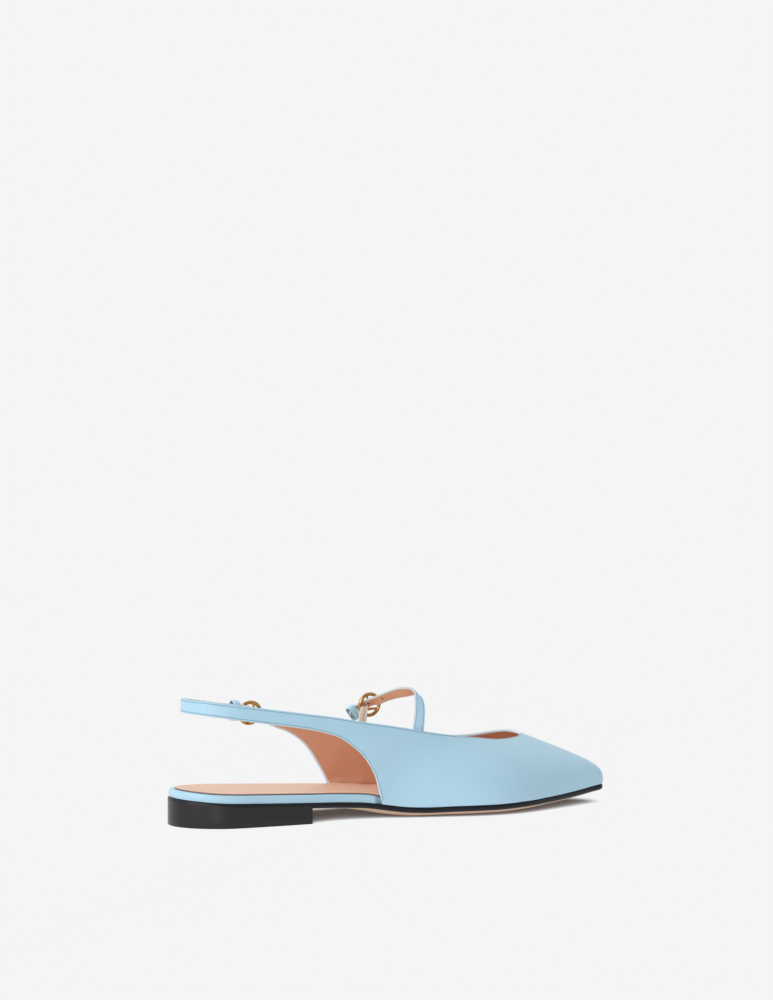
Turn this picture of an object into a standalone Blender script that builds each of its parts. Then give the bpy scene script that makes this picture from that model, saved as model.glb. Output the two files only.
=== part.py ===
"""Construction solids of a left slingback flat with an instep strap.

Metres, +Z up, toe towards +X and the outer (lateral) side of the foot towards +Y.
Places are first counted from the back of the heel, along the middle of the sole. A parent
empty then puts the origin on the floor under the middle of the shoe.
"""
import math
from typing import NamedTuple

import bmesh
import bpy
import numpy as np

# Driving dimensions
SOLE_LENGTH = 0.260
BALL_WIDTH = 0.076
SEAT_HEIGHT = 0.015
THROAT_HEIGHT = 0.042

# Thicknesses and clearances
GAP = 0.0003
SOLE_EDGE = 0.0027
WALL = 0.0017
BOARD = 0.0043
SOCK = 0.0006
STRAP_THICKNESS = 0.0015
KEEPER_WALL = 0.0009

# Shares of the driving dimensions that the tables count in
STATION = SOLE_LENGTH / 100
ACROSS = BALL_WIDTH / 200
HEIGHT = THROAT_HEIGHT / 100

# Ends of the sole plan
SEAT_ROUND = 0.127 * SOLE_LENGTH
TOE_CORNER = 0.105 * BALL_WIDTH / 2
FEATHER_FROM = 0.3 * SOLE_LENGTH
LEAST_CORNER = TOE_CORNER / 4
FLAT_TREAD = 0.5
TREAD_SHARES = (FLAT_TREAD, 0.68, 0.85, 1)

# Heel block and insole places
HEEL_BREAST = 0.279 * SOLE_LENGTH
HEEL_INSET = 0.0004
BOARD_REAR_INSET = 0.0006
SOCK_INSET = 0.0021
SOCK_BACK_INSET = 0.0013
STEP_LENGTH = 0.018 * SOLE_LENGTH

# Mesh fineness
SEAT_STEPS = 9
WAIST_STEPS = 24
TOE_STEPS = 4
HEEL_STEPS = 5
LAYER_COLUMNS = 5
FEATHER_STEPS = 119
FEATHER_TOE_STEPS = 15
RIB_STEP = 0.0066
TOE_RIB_STEP = 0.0024
TOE_RIBS_FROM = 95
RIB_CELLS = 8
MERGE = 1e-6
LEAST_EDGE = 1e-7
SHARP_ANGLE = math.radians(40)

MEDIAL = -1
LATERAL = 1
FRONT = 0


class PlanRow(NamedTuple):
    """Half-widths of the sole at a station, in percent of half the ball width."""

    station: float
    medial: float
    lateral: float


class HeightRow(NamedTuple):
    """Heights of the sole at a station, in percent of the seat height."""

    station: float
    feather: float
    tread: float


class LastedRib(NamedTuple):
    """Rib of the upper that starts on the feather line: station, shoulder and collar places."""

    side: int
    station: float
    shoulder: tuple
    collar: tuple
    fullness: float


class FreeRib(NamedTuple):
    """Rib of the upper behind the sides: lower edge, upper edge and outward bulge."""

    foot: tuple
    collar: tuple
    bulge: float


class ProngPoint(NamedTuple):
    """Place on a prong, counted from the middle of its bar."""

    ahead: float
    out: float


class StrapRow(NamedTuple):
    """Rear and front edge of the instep strap at one place along it."""

    rear: tuple
    front: tuple


SOLE_PLAN = (
    PlanRow(0, 72, 72),
    PlanRow(14, 72.5, 72.5),
    PlanRow(27, 70, 71),
    PlanRow(36, 64.5, 72),
    PlanRow(45, 66, 80),
    PlanRow(55, 82, 91),
    PlanRow(64, 98.5, 98),
    PlanRow(70, 102.5, 97),
    PlanRow(76, 97, 88),
    PlanRow(84, 76, 68),
    PlanRow(92, 53, 46),
    PlanRow(97, 39, 32),
    PlanRow(100, 33.5, 26),
)

SOLE_HEIGHTS = (
    HeightRow(0, 100, 82),
    HeightRow(7, 89.5, 71.5),
    HeightRow(14, 84, 66),
    HeightRow(27, 74.5, 56.5),
    HeightRow(36, 67, 42),
    HeightRow(41, 60.5, 28),
    HeightRow(45, 49.5, 14),
    HeightRow(49, 40, 4),
    HeightRow(53, 36.5, -1),
    HeightRow(60, 39, -1),
    HeightRow(70, 41.5, -1),
    HeightRow(76, 45, 5),
    HeightRow(84, 50.5, 17),
    HeightRow(92, 59.5, 31),
    HeightRow(100, 74, 51),
)

# Station, across and height of each place are percents of the driving dimensions
LATERAL_REAR = (
    FreeRib((14.2, 72.5, 133), (14.2, 68.5, 149), 0),
    FreeRib((17.1, 74.0, 130.5), (17.1, 69.8, 147), 0),
    FreeRib((20.0, 74.5, 127.5), (20.1, 70.0, 144.5), 0),
    FreeRib((22.0, 74.2, 125.5), (22.1, 69.6, 142.5), 0),
    FreeRib((24.6, 73.2, 121.8), (24.8, 69.8, 140), 0),
    FreeRib((27.5, 72.4, 113.5), (28.0, 70.7, 136.5), 0.5),
    FreeRib((30.4, 73.2, 106.5), (31.5, 72.2, 132.6), 1),
    FreeRib((33.4, 74.6, 94.3), (35.2, 73.6, 128.5), 2),
    FreeRib((35.4, 75.5, 81.5), (39.0, 74.5, 124), 3),
    FreeRib((37.3, 76.0, 63.5), (43.2, 75.2, 119.5), 5),
    FreeRib((39.0, 76.0, 45.5), (47.0, 75.0, 116), 7),
)

LASTED = (
    LastedRib(LATERAL, 40.6, (45.0, 89.0, 66), (51.0, 73.7, 111.5), 0.66),
    LastedRib(LATERAL, 47.0, (49.5, 95.5, 64), (54.8, 71.2, 107), 0.66),
    LastedRib(LATERAL, 54.0, (55.0, 101.5, 63), (58.6, 67.5, 102.5), 0.66),
    LastedRib(LATERAL, 60.8, (60.8, 106.0, 63), (62.3, 63.0, 99), 0.67),
    LastedRib(LATERAL, 66.5, (65.8, 107.5, 63), (65.8, 58.0, 96.5), 0.68),
    LastedRib(LATERAL, 72.3, (70.8, 103.0, 64), (69.2, 51.0, 95.5), 0.69),
    LastedRib(LATERAL, 78.0, (76.5, 91.0, 66), (72.4, 44.5, 96.5), 0.71),
    LastedRib(LATERAL, 84.2, (82.7, 74.0, 66), (75.4, 38.0, 99.5), 0.75),
    LastedRib(LATERAL, 90.8, (90.0, 55.5, 62.5), (78.0, 31.0, 102), 0.81),
    LastedRib(LATERAL, 96.0, (96.5, 39.5, 57), (79.8, 21.5, 103), 0.89),
    LastedRib(LATERAL, 100.0, (100.5, 23.5, 52.5), (81.0, 12.0, 101.5), 0.94),
    LastedRib(FRONT, 100.0, (100.8, -4.0, 53.5), (81.5, 2.0, 99.5), 0.95),
    LastedRib(MEDIAL, 100.0, (100.5, -32.0, 52.5), (81.0, -7.5, 98.5), 0.94),
    LastedRib(MEDIAL, 96.0, (96.5, -47.5, 56), (80.0, -14.0, 97.5), 0.89),
    LastedRib(MEDIAL, 91.0, (90.4, -63.0, 60.5), (78.4, -21.5, 96.5), 0.81),
    LastedRib(MEDIAL, 85.0, (83.6, -80.0, 64), (76.3, -29.0, 96), 0.75),
    LastedRib(MEDIAL, 79.0, (77.6, -96.5, 66), (73.8, -37.0, 96.2), 0.71),
    LastedRib(MEDIAL, 73.0, (72.0, -107.5, 66), (70.8, -45.0, 98), 0.69),
    LastedRib(MEDIAL, 67.3, (66.6, -110.0, 66), (67.0, -53.5, 101.5), 0.68),
    LastedRib(MEDIAL, 61.5, (61.5, -106.0, 66), (63.0, -60.0, 104.5), 0.67),
    LastedRib(MEDIAL, 55.5, (56.5, -97.5, 67), (59.6, -65.0, 107.8), 0.66),
    LastedRib(MEDIAL, 49.6, (52.0, -88.0, 69), (56.4, -69.0, 110.9), 0.66),
    LastedRib(MEDIAL, 44.2, (48.2, -81.0, 70), (52.8, -71.5, 114.9), 0.66),
)

MEDIAL_REAR = (
    FreeRib((43.1, -69.5, 38), (49.4, -72.8, 119), 5),
    FreeRib((41.8, -71.5, 61), (45.8, -73.5, 123), 4),
    FreeRib((39.4, -72.8, 83.5), (42.2, -73.6, 126.7), 3),
    FreeRib((36.6, -73.0, 99), (38.3, -73.2, 130.9), 2),
    FreeRib((33.8, -72.4, 110.2), (34.8, -72.3, 135.2), 1),
    FreeRib((30.4, -71.6, 117.5), (31.0, -71.2, 139), 0.5),
    FreeRib((25.4, -70.6, 124.2), (25.8, -69.8, 143.7), 0),
    FreeRib((19.4, -67.8, 129.9), (19.6, -66.8, 149.4), 0),
    FreeRib((13.9, -63.6, 135), (14.0, -62.4, 154.2), 0),
    FreeRib((9.6, -57.1, 139), (9.65, -55.9, 158), 0),
    FreeRib((6.0, -44.6, 142.1), (6.0, -43.6, 160.8), 0),
    FreeRib((3.75, -26.0, 143.8), (3.7, -25.4, 162), 0),
    FreeRib((2.85, 0, 144.2), (2.8, 0, 162.2), 0),
    FreeRib((3.75, 26.0, 143.6), (3.7, 25.4, 161.5), 0),
    FreeRib((6.0, 44.8, 141.4), (6.0, 43.4, 159.2), 0),
    FreeRib((9.6, 57.5, 137.4), (9.65, 55.3, 155.4), 0),
    FreeRib((13.9, 64.4, 133), (14.0, 61.4, 150.8), 0),
    FreeRib((17.5, 67.6, 130.4), (17.6, 63.8, 148), 0),
    FreeRib((21.3, 69.0, 127.4), (21.4, 65.0, 144.8), 0),
)

INSTEP_STRAP = (
    StrapRow((50.9, -65.0, 94), (53.3, -64.5, 92)),
    StrapRow((51.2, -65.8, 116.5), (53.8, -65.3, 114.5)),
    StrapRow((51.7, -65.0, 136.5), (54.2, -63.8, 135.5)),
    StrapRow((52.0, -62.5, 155.5), (54.3, -60.0, 150)),
    StrapRow((52.3, -56.0, 166), (54.1, -52.0, 158)),
    StrapRow((52.3, -44.0, 170.2), (53.7, -39.0, 160.8)),
    StrapRow((51.7, -27.0, 170), (53.0, -23.0, 157.3)),
    StrapRow((51.0, -5.0, 166.8), (52.3, -1.0, 154)),
    StrapRow((50.1, 20.0, 160), (51.4, 23.5, 148.5)),
    StrapRow((49.4, 47.0, 152.8), (51.0, 49.0, 142)),
    StrapRow((48.7, 68.5, 147), (50.7, 66.5, 140.4)),
    StrapRow((47.7, 81.0, 141.2), (49.2, 81.0, 133.5)),
    StrapRow((46.5, 86.0, 135.2), (48.2, 86.5, 126.8)),
    StrapRow((45.0, 82.5, 128.6), (46.7, 83.0, 121)),
)
STRAP_STEP = 0.0030
STRAP_CELLS = 6
INSTEP_HOLE_ROW = 10
INSTEP_HOLE_CELLS = (2, 3, 4)

# Buckles: a wire ring with a bar across it, places in percents as above
RING_RADIUS = 0.0063
WIRE_RADIUS = 0.0008
BAR_RADIUS = 0.0007
PRONG_RADIUS = 0.0005
RING_STEPS = 28
WIRE_SIDES = 8
INSTEP_RING = (49.8, 71.3, 138.8)
INSTEP_RING_ALONG = (1.0, 0.08, 0.0)
INSTEP_RING_UP = (0.0, -0.10, 1.0)
INSTEP_BAR_DROP = 0.0024
SLING_RING = (22.0, 75.6, 134.0)
SLING_RING_ALONG = (1.0, 0.0, -0.16)
SLING_RING_UP = (0.16, -0.24, 1.0)
SLING_BAR_BOW = 0.0041
SLING_BAR_RISE = (-1.0, -0.86, -0.74, 0, 0.74, 0.86, 1.0)
SLING_BAR_IN = (0, 0.62, 1, 1, 1, 0.62, 0)

# Prongs: degrees of turn round the bar, then places up to the ring
INSTEP_PRONG_SIDE = -0.0012
INSTEP_PRONG_TURN = (-105, -80, -55, -30)
INSTEP_PRONG = (ProngPoint(0.0035, 0.0), ProngPoint(0.0059, 0.0006))
SLING_PRONG_TURN = (-120, -80, -40, 0)
SLING_PRONG = (ProngPoint(0.0024, 0.0018), ProngPoint(0.0036, 0.0057))
SLING_HOLE_AHEAD = 0.0024

# Elastic tab of the instep buckle and the two keepers
TAB_FOOT_WIDTH = 0.0062
TAB_HEAD_WIDTH = 0.0042
TAB_ROWS = 6
TAB_COLUMNS = 4
TAB_FOOT = (47.1, 65.5, 96)
TAB_HEAD = (48.25, 65.6, 135)
KEEPER_LENGTH = 0.0042
KEEPER_SLACK = 0.0012
KEEPER_SHIFT = 0.0008
INSTEP_KEEPER_ROW = 12.5
SLING_KEEPER = (17.8, 66.8, 139)
SLING_KEEPER_HALF_UP = 0.0046
SLING_KEEPER_HALF_OUT = 0.0029
KEEPER_SIDES = 24
KEEPER_SQUARENESS = 0.45

# Colours as red, green and blue, with roughness and metal share
BLUE_LEATHER = ((0.40, 0.62, 0.76), 0.42, 0.0)
TAN_LEATHER = ((0.62, 0.34, 0.21), 0.55, 0.0)
BLACK_EDGE = ((0.012, 0.012, 0.014), 0.35, 0.0)
CREAM_ELASTIC = ((0.70, 0.62, 0.48), 0.80, 0.0)
GOLD_METAL = ((0.80, 0.56, 0.25), 0.25, 1.0)


def place(*spots):
    """Places given as station, across and height percents, in metres."""
    return np.asarray(spots, float) * (STATION, ACROSS, HEIGHT)


def unit(vector):
    """A vector scaled to length one."""
    vector = np.asarray(vector, float)
    return vector / np.linalg.norm(vector, axis=-1, keepdims=True)


def smooth(knots, rows, at):
    """Cubic curve through the rows of a table, with slopes from the neighbouring rows."""
    knots = np.asarray(knots, float)
    rows = np.asarray(rows, float)
    at = np.asarray(at, float)
    slopes = np.gradient(rows, knots, axis=0)
    i = np.clip(np.searchsorted(knots, at) - 1, 0, len(knots) - 2)
    span = knots[i + 1] - knots[i]
    t = (at - knots[i]) / span
    if rows.ndim > 1:
        span = span[..., None]
        t = t[..., None]
    ends = rows[i] * (1 + 2 * t) * (1 - t) ** 2 + rows[i + 1] * t * t * (3 - 2 * t)
    return ends + span * (slopes[i] * t * (1 - t) ** 2 - slopes[i + 1] * t * t * (1 - t))


def run_along(points):
    """Distance travelled at each point of a line."""
    steps = np.linalg.norm(np.diff(points, axis=0), axis=1)
    return np.concatenate([[0], np.cumsum(steps)])


def spaced(knots, steps):
    """Every knot, with even steps of about the given lengths between them."""
    spots = []
    for start, end, step in zip(knots[:-1], knots[1:], np.broadcast_to(steps, len(knots) - 1)):
        cells = max(1, round((end - start) / step))
        spots.extend(np.linspace(start, end, cells, endpoint=False))
    return np.array(spots + [knots[-1]])


def sole_height(x, column):
    """Height of the feather line or of the tread's middle at a distance from the heel."""
    stations = [row.station for row in SOLE_HEIGHTS]
    heights = [getattr(row, column) for row in SOLE_HEIGHTS]
    return np.maximum(smooth(stations, heights, x / STATION), 0) * SEAT_HEIGHT / 100


def half_width(x, side, inset):
    """Half-width of the sole plan on one side, drawn in all round by an inset."""
    stations = [row.station for row in SOLE_PLAN]
    column = [row.medial if side == MEDIAL else row.lateral for row in SOLE_PLAN]
    width = smooth(stations, column, x / STATION) * ACROSS - inset
    back = np.clip(1 - (x - inset) / (SEAT_ROUND - inset), 0, 1)
    corner = np.maximum(TOE_CORNER - inset, LEAST_CORNER)
    into = np.clip((x - SOLE_LENGTH + inset + corner) / corner, 0, 1)
    return width * np.sqrt(1 - back**2) - corner * (1 - np.sqrt(1 - into**2))


def sole_stations(start, end):
    """Stations for a sole layer, closer together at the round seat and the toe corners."""
    seat = start + (SEAT_ROUND - start) * (1 - np.cos(np.linspace(0, math.pi / 2, SEAT_STEPS + 1)))
    middle = np.linspace(SEAT_ROUND, end - TOE_CORNER, WAIST_STEPS + 1)
    toe = end - TOE_CORNER * (1 - np.sin(np.linspace(0, math.pi / 2, TOE_STEPS + 1)))
    return np.concatenate([seat[:-1], middle[:-1], toe])


def layer_plan(x, shares, medial_inset, lateral_inset):
    """Plan grid of a sole layer: stations along the foot, shares from edge to edge."""
    medial = half_width(x, MEDIAL, medial_inset)[:, None]
    lateral = half_width(x, LATERAL, lateral_inset)[:, None]
    y = shares * np.where(shares < 0, medial, lateral)
    return np.broadcast_to(x[:, None], y.shape), y


def stack(x, y, z):
    """Grid of points from its three coordinates."""
    return np.stack(np.broadcast_arrays(x, y, z), axis=-1)


def shell(outer, inner, holes=()):
    """Closed mesh between two grids of one size, with walls at the rim and round each hole."""
    rows, columns = outer.shape[:2]
    count = rows * columns
    index = np.arange(count).reshape(rows, columns)
    kept = np.zeros((rows + 1, columns + 1), bool)
    kept[1:rows, 1:columns] = True
    for row, column in holes:
        kept[row + 1, column + 1] = False
    faces = []
    for i, j in np.argwhere(kept) - 1:
        corners = (index[i, j], index[i + 1, j], index[i + 1, j + 1], index[i, j + 1])
        beside = (kept[i + 1, j], kept[i + 2, j + 1], kept[i + 1, j + 2], kept[i, j + 1])
        faces.append(corners)
        faces.append(tuple(c + count for c in reversed(corners)))
        for k, has_neighbour in enumerate(beside):
            if not has_neighbour:
                a = corners[k]
                b = corners[(k + 1) % 4]
                faces.append((b, a, a + count, b + count))
    return np.concatenate([outer.reshape(-1, 3), inner.reshape(-1, 3)]), faces


def offset_inward(grid, thickness):
    """Second surface of a wall: the grid moved against its outward normal."""
    along = np.gradient(grid, axis=0)
    up = np.gradient(grid, axis=1)
    return grid - thickness * unit(np.cross(up, along))


def tube(path, radius, closed, side=(0, 0, 1)):
    """Round rod along a path; the side vector must not run along it. Radius may vary."""
    path = np.asarray(path, float)
    if closed:
        tangent = unit(np.roll(path, -1, axis=0) - np.roll(path, 1, axis=0))
    else:
        tangent = unit(np.gradient(path, axis=0))
    across = unit(np.cross(tangent, side))
    up = np.cross(across, tangent)
    turn = np.linspace(0, 2 * math.pi, WIRE_SIDES, endpoint=False)
    radius = np.broadcast_to(radius, len(path))[:, None, None]
    spokes = np.cos(turn)[:, None] * across[:, None] + np.sin(turn)[:, None] * up[:, None]
    points = path[:, None] + radius * spokes
    count = len(path)
    index = np.arange(count * WIRE_SIDES).reshape(count, WIRE_SIDES)
    faces = []
    for i in range(count if closed else count - 1):
        here = index[i]
        ahead = index[(i + 1) % count]
        for j in range(WIRE_SIDES):
            k = (j + 1) % WIRE_SIDES
            faces.append((here[j], here[k], ahead[k], ahead[j]))
    if not closed:
        faces.append(tuple(reversed(index[0])))
        faces.append(tuple(index[-1]))
    return points.reshape(-1, 3), faces


def hoop(centre, along, up, half_up, half_out, wall, length):
    """Flat loop of leather: a rounded oblong band, extruded along the strap that it holds."""
    along = unit(along)
    out = unit(np.cross(up, along))
    up = np.cross(along, out)
    turn = np.linspace(0, 2 * math.pi, KEEPER_SIDES, endpoint=False)
    ring_up = np.sign(np.sin(turn)) * np.abs(np.sin(turn)) ** KEEPER_SQUARENESS
    ring_out = np.sign(np.cos(turn)) * np.abs(np.cos(turn)) ** KEEPER_SQUARENESS

    def band(extra):
        rise = (half_up + extra) * ring_up[:, None] * up
        reach = (half_out + extra) * ring_out[:, None] * out
        ends = np.array((-0.5, 0.5))[:, None, None] * length * along
        return np.asarray(centre) + ends + rise + reach

    rings = np.concatenate([band(wall), band(0.0)])
    points = rings.reshape(-1, 3)
    index = np.arange(len(points)).reshape(4, len(turn))
    outer_back, outer_front, inner_back, inner_front = index
    faces = []
    for j in range(len(turn)):
        k = (j + 1) % len(turn)
        for one, two in ((outer_back, outer_front), (outer_front, inner_front),
                         (inner_front, inner_back), (inner_back, outer_back)):
            faces.append((one[j], one[k], two[k], two[j]))
    return points, faces


def material(name, finish):
    """Principled material of one colour, roughness and metal share."""
    colour, roughness, metallic = finish
    made = bpy.data.materials.new(name)
    made.use_nodes = True
    shader = made.node_tree.nodes["Principled BSDF"]
    shader.inputs["Base Color"].default_value = (*colour, 1.0)
    shader.inputs["Roughness"].default_value = roughness
    shader.inputs["Metallic"].default_value = metallic
    made.diffuse_color = (*colour, 1.0)
    return made


def solid(name, skin, finish, parent):
    """Named object from points and faces, with doubled points merged and faces turned out."""
    points, faces = skin
    mesh = bpy.data.meshes.new(name)
    mesh.from_pydata([tuple(p) for p in points], [], [tuple(int(c) for c in f) for f in faces])
    body = bmesh.new()
    body.from_mesh(mesh)
    bmesh.ops.remove_doubles(body, verts=body.verts, dist=MERGE)
    bmesh.ops.dissolve_degenerate(body, edges=body.edges, dist=LEAST_EDGE)
    bmesh.ops.recalc_face_normals(body, faces=body.faces)
    bmesh.ops.triangulate(body, faces=body.faces)
    body.to_mesh(mesh)
    body.free()
    mesh.shade_smooth()
    mesh.set_sharp_from_angle(angle=SHARP_ANGLE)
    mesh.materials.append(material(name, finish))
    made = bpy.data.objects.new(name, mesh)
    bpy.context.scene.collection.objects.link(made)
    made.parent = parent
    return made


def build_outsole(parent):
    """Thin sole: flat seat, waist, crowned tread with a flat spot, and toe spring."""
    x = sole_stations(0.0, SOLE_LENGTH)
    shares = np.concatenate([-np.array(TREAD_SHARES[::-1]), [0], TREAD_SHARES])
    plan_x, plan_y = layer_plan(x, shares, 0.0, 0.0)
    feather = sole_height(x, "feather")[:, None]
    tread = np.minimum(sole_height(x, "tread")[:, None], feather - SOLE_EDGE)
    crown = np.clip((np.abs(shares) - FLAT_TREAD) / (1 - FLAT_TREAD), 0, 1) ** 2
    under = tread + (feather - SOLE_EDGE - tread) * crown
    return solid("outsole", shell(stack(plan_x, plan_y, feather), stack(plan_x, plan_y, under)),
                 BLACK_EDGE, parent)


def build_heel(parent):
    """Low block under the seat, flat on the floor, with a straight breast."""
    x = HEEL_INSET + (SEAT_ROUND - HEEL_INSET) * (1 - np.cos(np.linspace(0, math.pi / 2, SEAT_STEPS + 1)))
    x = np.concatenate([x, np.linspace(SEAT_ROUND, HEEL_BREAST, HEEL_STEPS + 1)[1:]])
    shares = np.linspace(-1, 1, LAYER_COLUMNS)
    plan_x, plan_y = layer_plan(x, shares, HEEL_INSET, HEEL_INSET)
    top = sole_height(x, "feather")[:, None] - SOLE_EDGE - GAP
    top = np.minimum(top, sole_height(x, "tread")[:, None] - GAP)
    return solid("heel", shell(stack(plan_x, plan_y, top), stack(plan_x, plan_y, 0.0)), BLACK_EDGE, parent)


def insole_insets(x, extra, back):
    """Insets of the insole's two edges: full width at the open heel, inside the wall ahead of it.

    The back inset fades out over the round of the seat.
    """
    round_share = np.clip(1 - (x - x[0]) / SEAT_ROUND, 0, 1) ** 2
    insets = []
    for rib in (LASTED[-1], LASTED[0]):
        corner = rib.station * STATION
        t = np.clip((x - corner + STEP_LENGTH + 2 * GAP) / STEP_LENGTH, 0, 1)
        inside = WALL + 2 * GAP + BOARD_REAR_INSET
        step = (inside - BOARD_REAR_INSET) * t * t * (3 - 2 * t)
        insets.append(BOARD_REAR_INSET + step + extra + back * round_share)
    return insets


def build_insole_layer(name, extra, back, low, high, finish, parent):
    """Sheet of the insole between two heights above the outsole, inset all round and at the back."""
    toe_inset = WALL + 2 * GAP + BOARD_REAR_INSET + extra
    x = sole_stations(BOARD_REAR_INSET + extra + back, SOLE_LENGTH - toe_inset)
    shares = np.linspace(-1, 1, LAYER_COLUMNS)
    plan_x, plan_y = layer_plan(x, shares, *insole_insets(x, extra, back))
    base = sole_height(x, "feather")[:, None]
    return solid(name, shell(stack(plan_x, plan_y, base + high), stack(plan_x, plan_y, base + low)),
                 finish, parent)


def feather_line():
    """Line of the sole's edge from the lateral waist round the toe to the medial waist."""
    sides = np.linspace(FEATHER_FROM, SOLE_LENGTH - TOE_CORNER, FEATHER_STEPS + 1)
    turn = np.linspace(0, math.pi / 2, FEATHER_TOE_STEPS + 1)
    x = np.concatenate([sides[:-1], SOLE_LENGTH - TOE_CORNER * (1 - np.sin(turn))])
    height = sole_height(x, "feather") + GAP
    lateral = stack(x, half_width(x, LATERAL, 0.0), height)
    medial = stack(x, -half_width(x, MEDIAL, 0.0), height)
    return np.concatenate([lateral, medial[::-1]]), x


def lasted_runs(run, x):
    """Distance along the feather line at which each lasted rib starts."""
    half = len(x)
    runs = []
    for rib in LASTED:
        at = rib.station * STATION
        if rib.side == LATERAL:
            runs.append(np.interp(at, x, run[:half]))
        elif rib.side == MEDIAL:
            runs.append(np.interp(at, x, run[half:][::-1]))
        else:
            runs.append((run[half - 1] + run[half]) / 2)
    return np.array(runs)


def on_line(line, run, at):
    """Points of a line at given distances along it."""
    return np.stack([np.interp(at, run, line[:, axis]) for axis in range(3)], axis=-1)


def free_shoulder(rib):
    """Shoulder of a free rib: the middle between its edges, pushed out by its bulge."""
    middle = (np.array(rib.foot) + np.array(rib.collar)) / 2
    middle[1] += math.copysign(rib.bulge, middle[1])
    return middle


def upper_surface():
    """Outer face of the upper: ribs from the lower edge to the collar that lean on a shoulder line.

    Each rib is a cubic curve whose two handles point at its shoulder, as far as its fullness says.
    """
    line, x = feather_line()
    run = run_along(line)
    starts = lasted_runs(run, x)
    free = LATERAL_REAR + MEDIAL_REAR
    first = len(LATERAL_REAR)
    last = first + len(LASTED) - 1
    lateral_feet = place(*[rib.foot for rib in LATERAL_REAR])
    medial_feet = place(*[rib.foot for rib in MEDIAL_REAR])
    feet = np.concatenate([lateral_feet, on_line(line, run, starts), medial_feet])
    ordered = LATERAL_REAR + LASTED + MEDIAL_REAR
    collars = place(*[rib.collar for rib in ordered])
    shoulders = place(*[free_shoulder(rib) if rib in free else rib.shoulder for rib in ordered])
    fullness = np.array([2 / 3 if rib in free else rib.fullness for rib in ordered])
    knots = (run_along(feet) + run_along(collars)) / 2
    at_toe = [rib in LASTED and rib.station > TOE_RIBS_FROM for rib in ordered]
    steps = np.where(np.array(at_toe[:-1]) | np.array(at_toe[1:]), TOE_RIB_STEP, RIB_STEP)
    spots = spaced(knots, steps)

    foot = on_line(line, run, smooth(knots[first:last + 1], starts, spots))
    behind = spots < knots[first]
    foot[behind] = smooth(knots[:first + 1], feet[:first + 1], spots[behind])
    behind = spots > knots[last]
    foot[behind] = smooth(knots[last:], feet[last:], spots[behind])
    collar = smooth(knots, collars, spots)
    shoulder = smooth(knots, shoulders, spots)
    pull = smooth(knots, fullness, spots)[:, None]
    lower_handle = foot + pull * (shoulder - foot)
    upper_handle = collar + pull * (shoulder - collar)
    v = np.linspace(0, 1, RIB_CELLS + 1)[:, None]
    weights = ((1 - v) ** 3, 3 * v * (1 - v) ** 2, 3 * v * v * (1 - v), v**3)
    corners = (foot, lower_handle, upper_handle, collar)
    return sum(w * c[:, None] for w, c in zip(weights, corners))


def build_upper(parent):
    """Vamp, quarters, sling strap and fastening tongue as one hollow wall, open below."""
    outer = upper_surface()
    inner = offset_inward(outer, WALL)
    inner[:, 0, 2] = np.maximum(inner[:, 0, 2], outer[:, 0, 2])
    prong_x = SLING_RING[0] * STATION + SLING_HOLE_AHEAD
    tongue = outer[: len(outer) // 4, RIB_CELLS // 2, 0]
    cell = int(np.searchsorted(tongue, prong_x)) - 1
    holes = [(cell, RIB_CELLS // 2 - 1), (cell, RIB_CELLS // 2)]
    return solid("upper", shell(outer, inner, holes), BLUE_LEATHER, parent)


def strap_surface():
    """Outer face of the instep strap between its rear and front edges, and its row numbers."""
    rear = place(*[row.rear for row in INSTEP_STRAP])
    front = place(*[row.front for row in INSTEP_STRAP])
    knots = run_along((rear + front) / 2)
    spots = spaced(knots, STRAP_STEP)
    share = np.linspace(0, 1, STRAP_CELLS + 1)[:, None]
    rear = smooth(knots, rear, spots)[:, None]
    front = smooth(knots, front, spots)[:, None]
    return rear + share * (front - rear), np.interp(spots, knots, np.arange(len(knots)))


def build_instep_strap(parent):
    """Narrow strap from inside the medial quarter, over the instep and through its buckle."""
    outer, rows = strap_surface()
    inner = offset_inward(outer, STRAP_THICKNESS)
    row = int(np.searchsorted(rows, INSTEP_HOLE_ROW))
    holes = [(row, cell) for cell in INSTEP_HOLE_CELLS]
    return solid("instep_strap", shell(outer, inner, holes), BLUE_LEATHER, parent)


def ring_axes(along, up):
    """Directions of a buckle: along the strap's length or width, up, and outward."""
    along = unit(along)
    out = unit(np.cross(up, along))
    return along, np.cross(along, out), out


def joined(name, first, second, finish, parent):
    """One solid from two that overlap, joined by a union."""
    main = solid(name, first, finish, parent)
    other = solid(name + "_bar", second, finish, parent)
    other.hide_render = True
    other.display_type = "WIRE"
    union = main.modifiers.new("bar", "BOOLEAN")
    union.operation = "UNION"
    union.object = other
    return main


def ring_path(centre, along, up):
    """Middle line of a buckle's ring."""
    turn = np.linspace(0, 2 * math.pi, RING_STEPS, endpoint=False)[:, None]
    return np.asarray(centre) + RING_RADIUS * (np.cos(turn) * along + np.sin(turn) * up)


def prong_path(root, turn, points, ahead, out):
    """Middle line of a prong that hooks round its bar and then passes through the given places."""
    hug = BAR_RADIUS + GAP + PRONG_RADIUS
    path = [root + hug * (math.cos(a) * ahead + math.sin(a) * out) for a in np.radians(turn)]
    path.extend(root + point.ahead * ahead + point.out * out for point in points)
    return path


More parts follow.
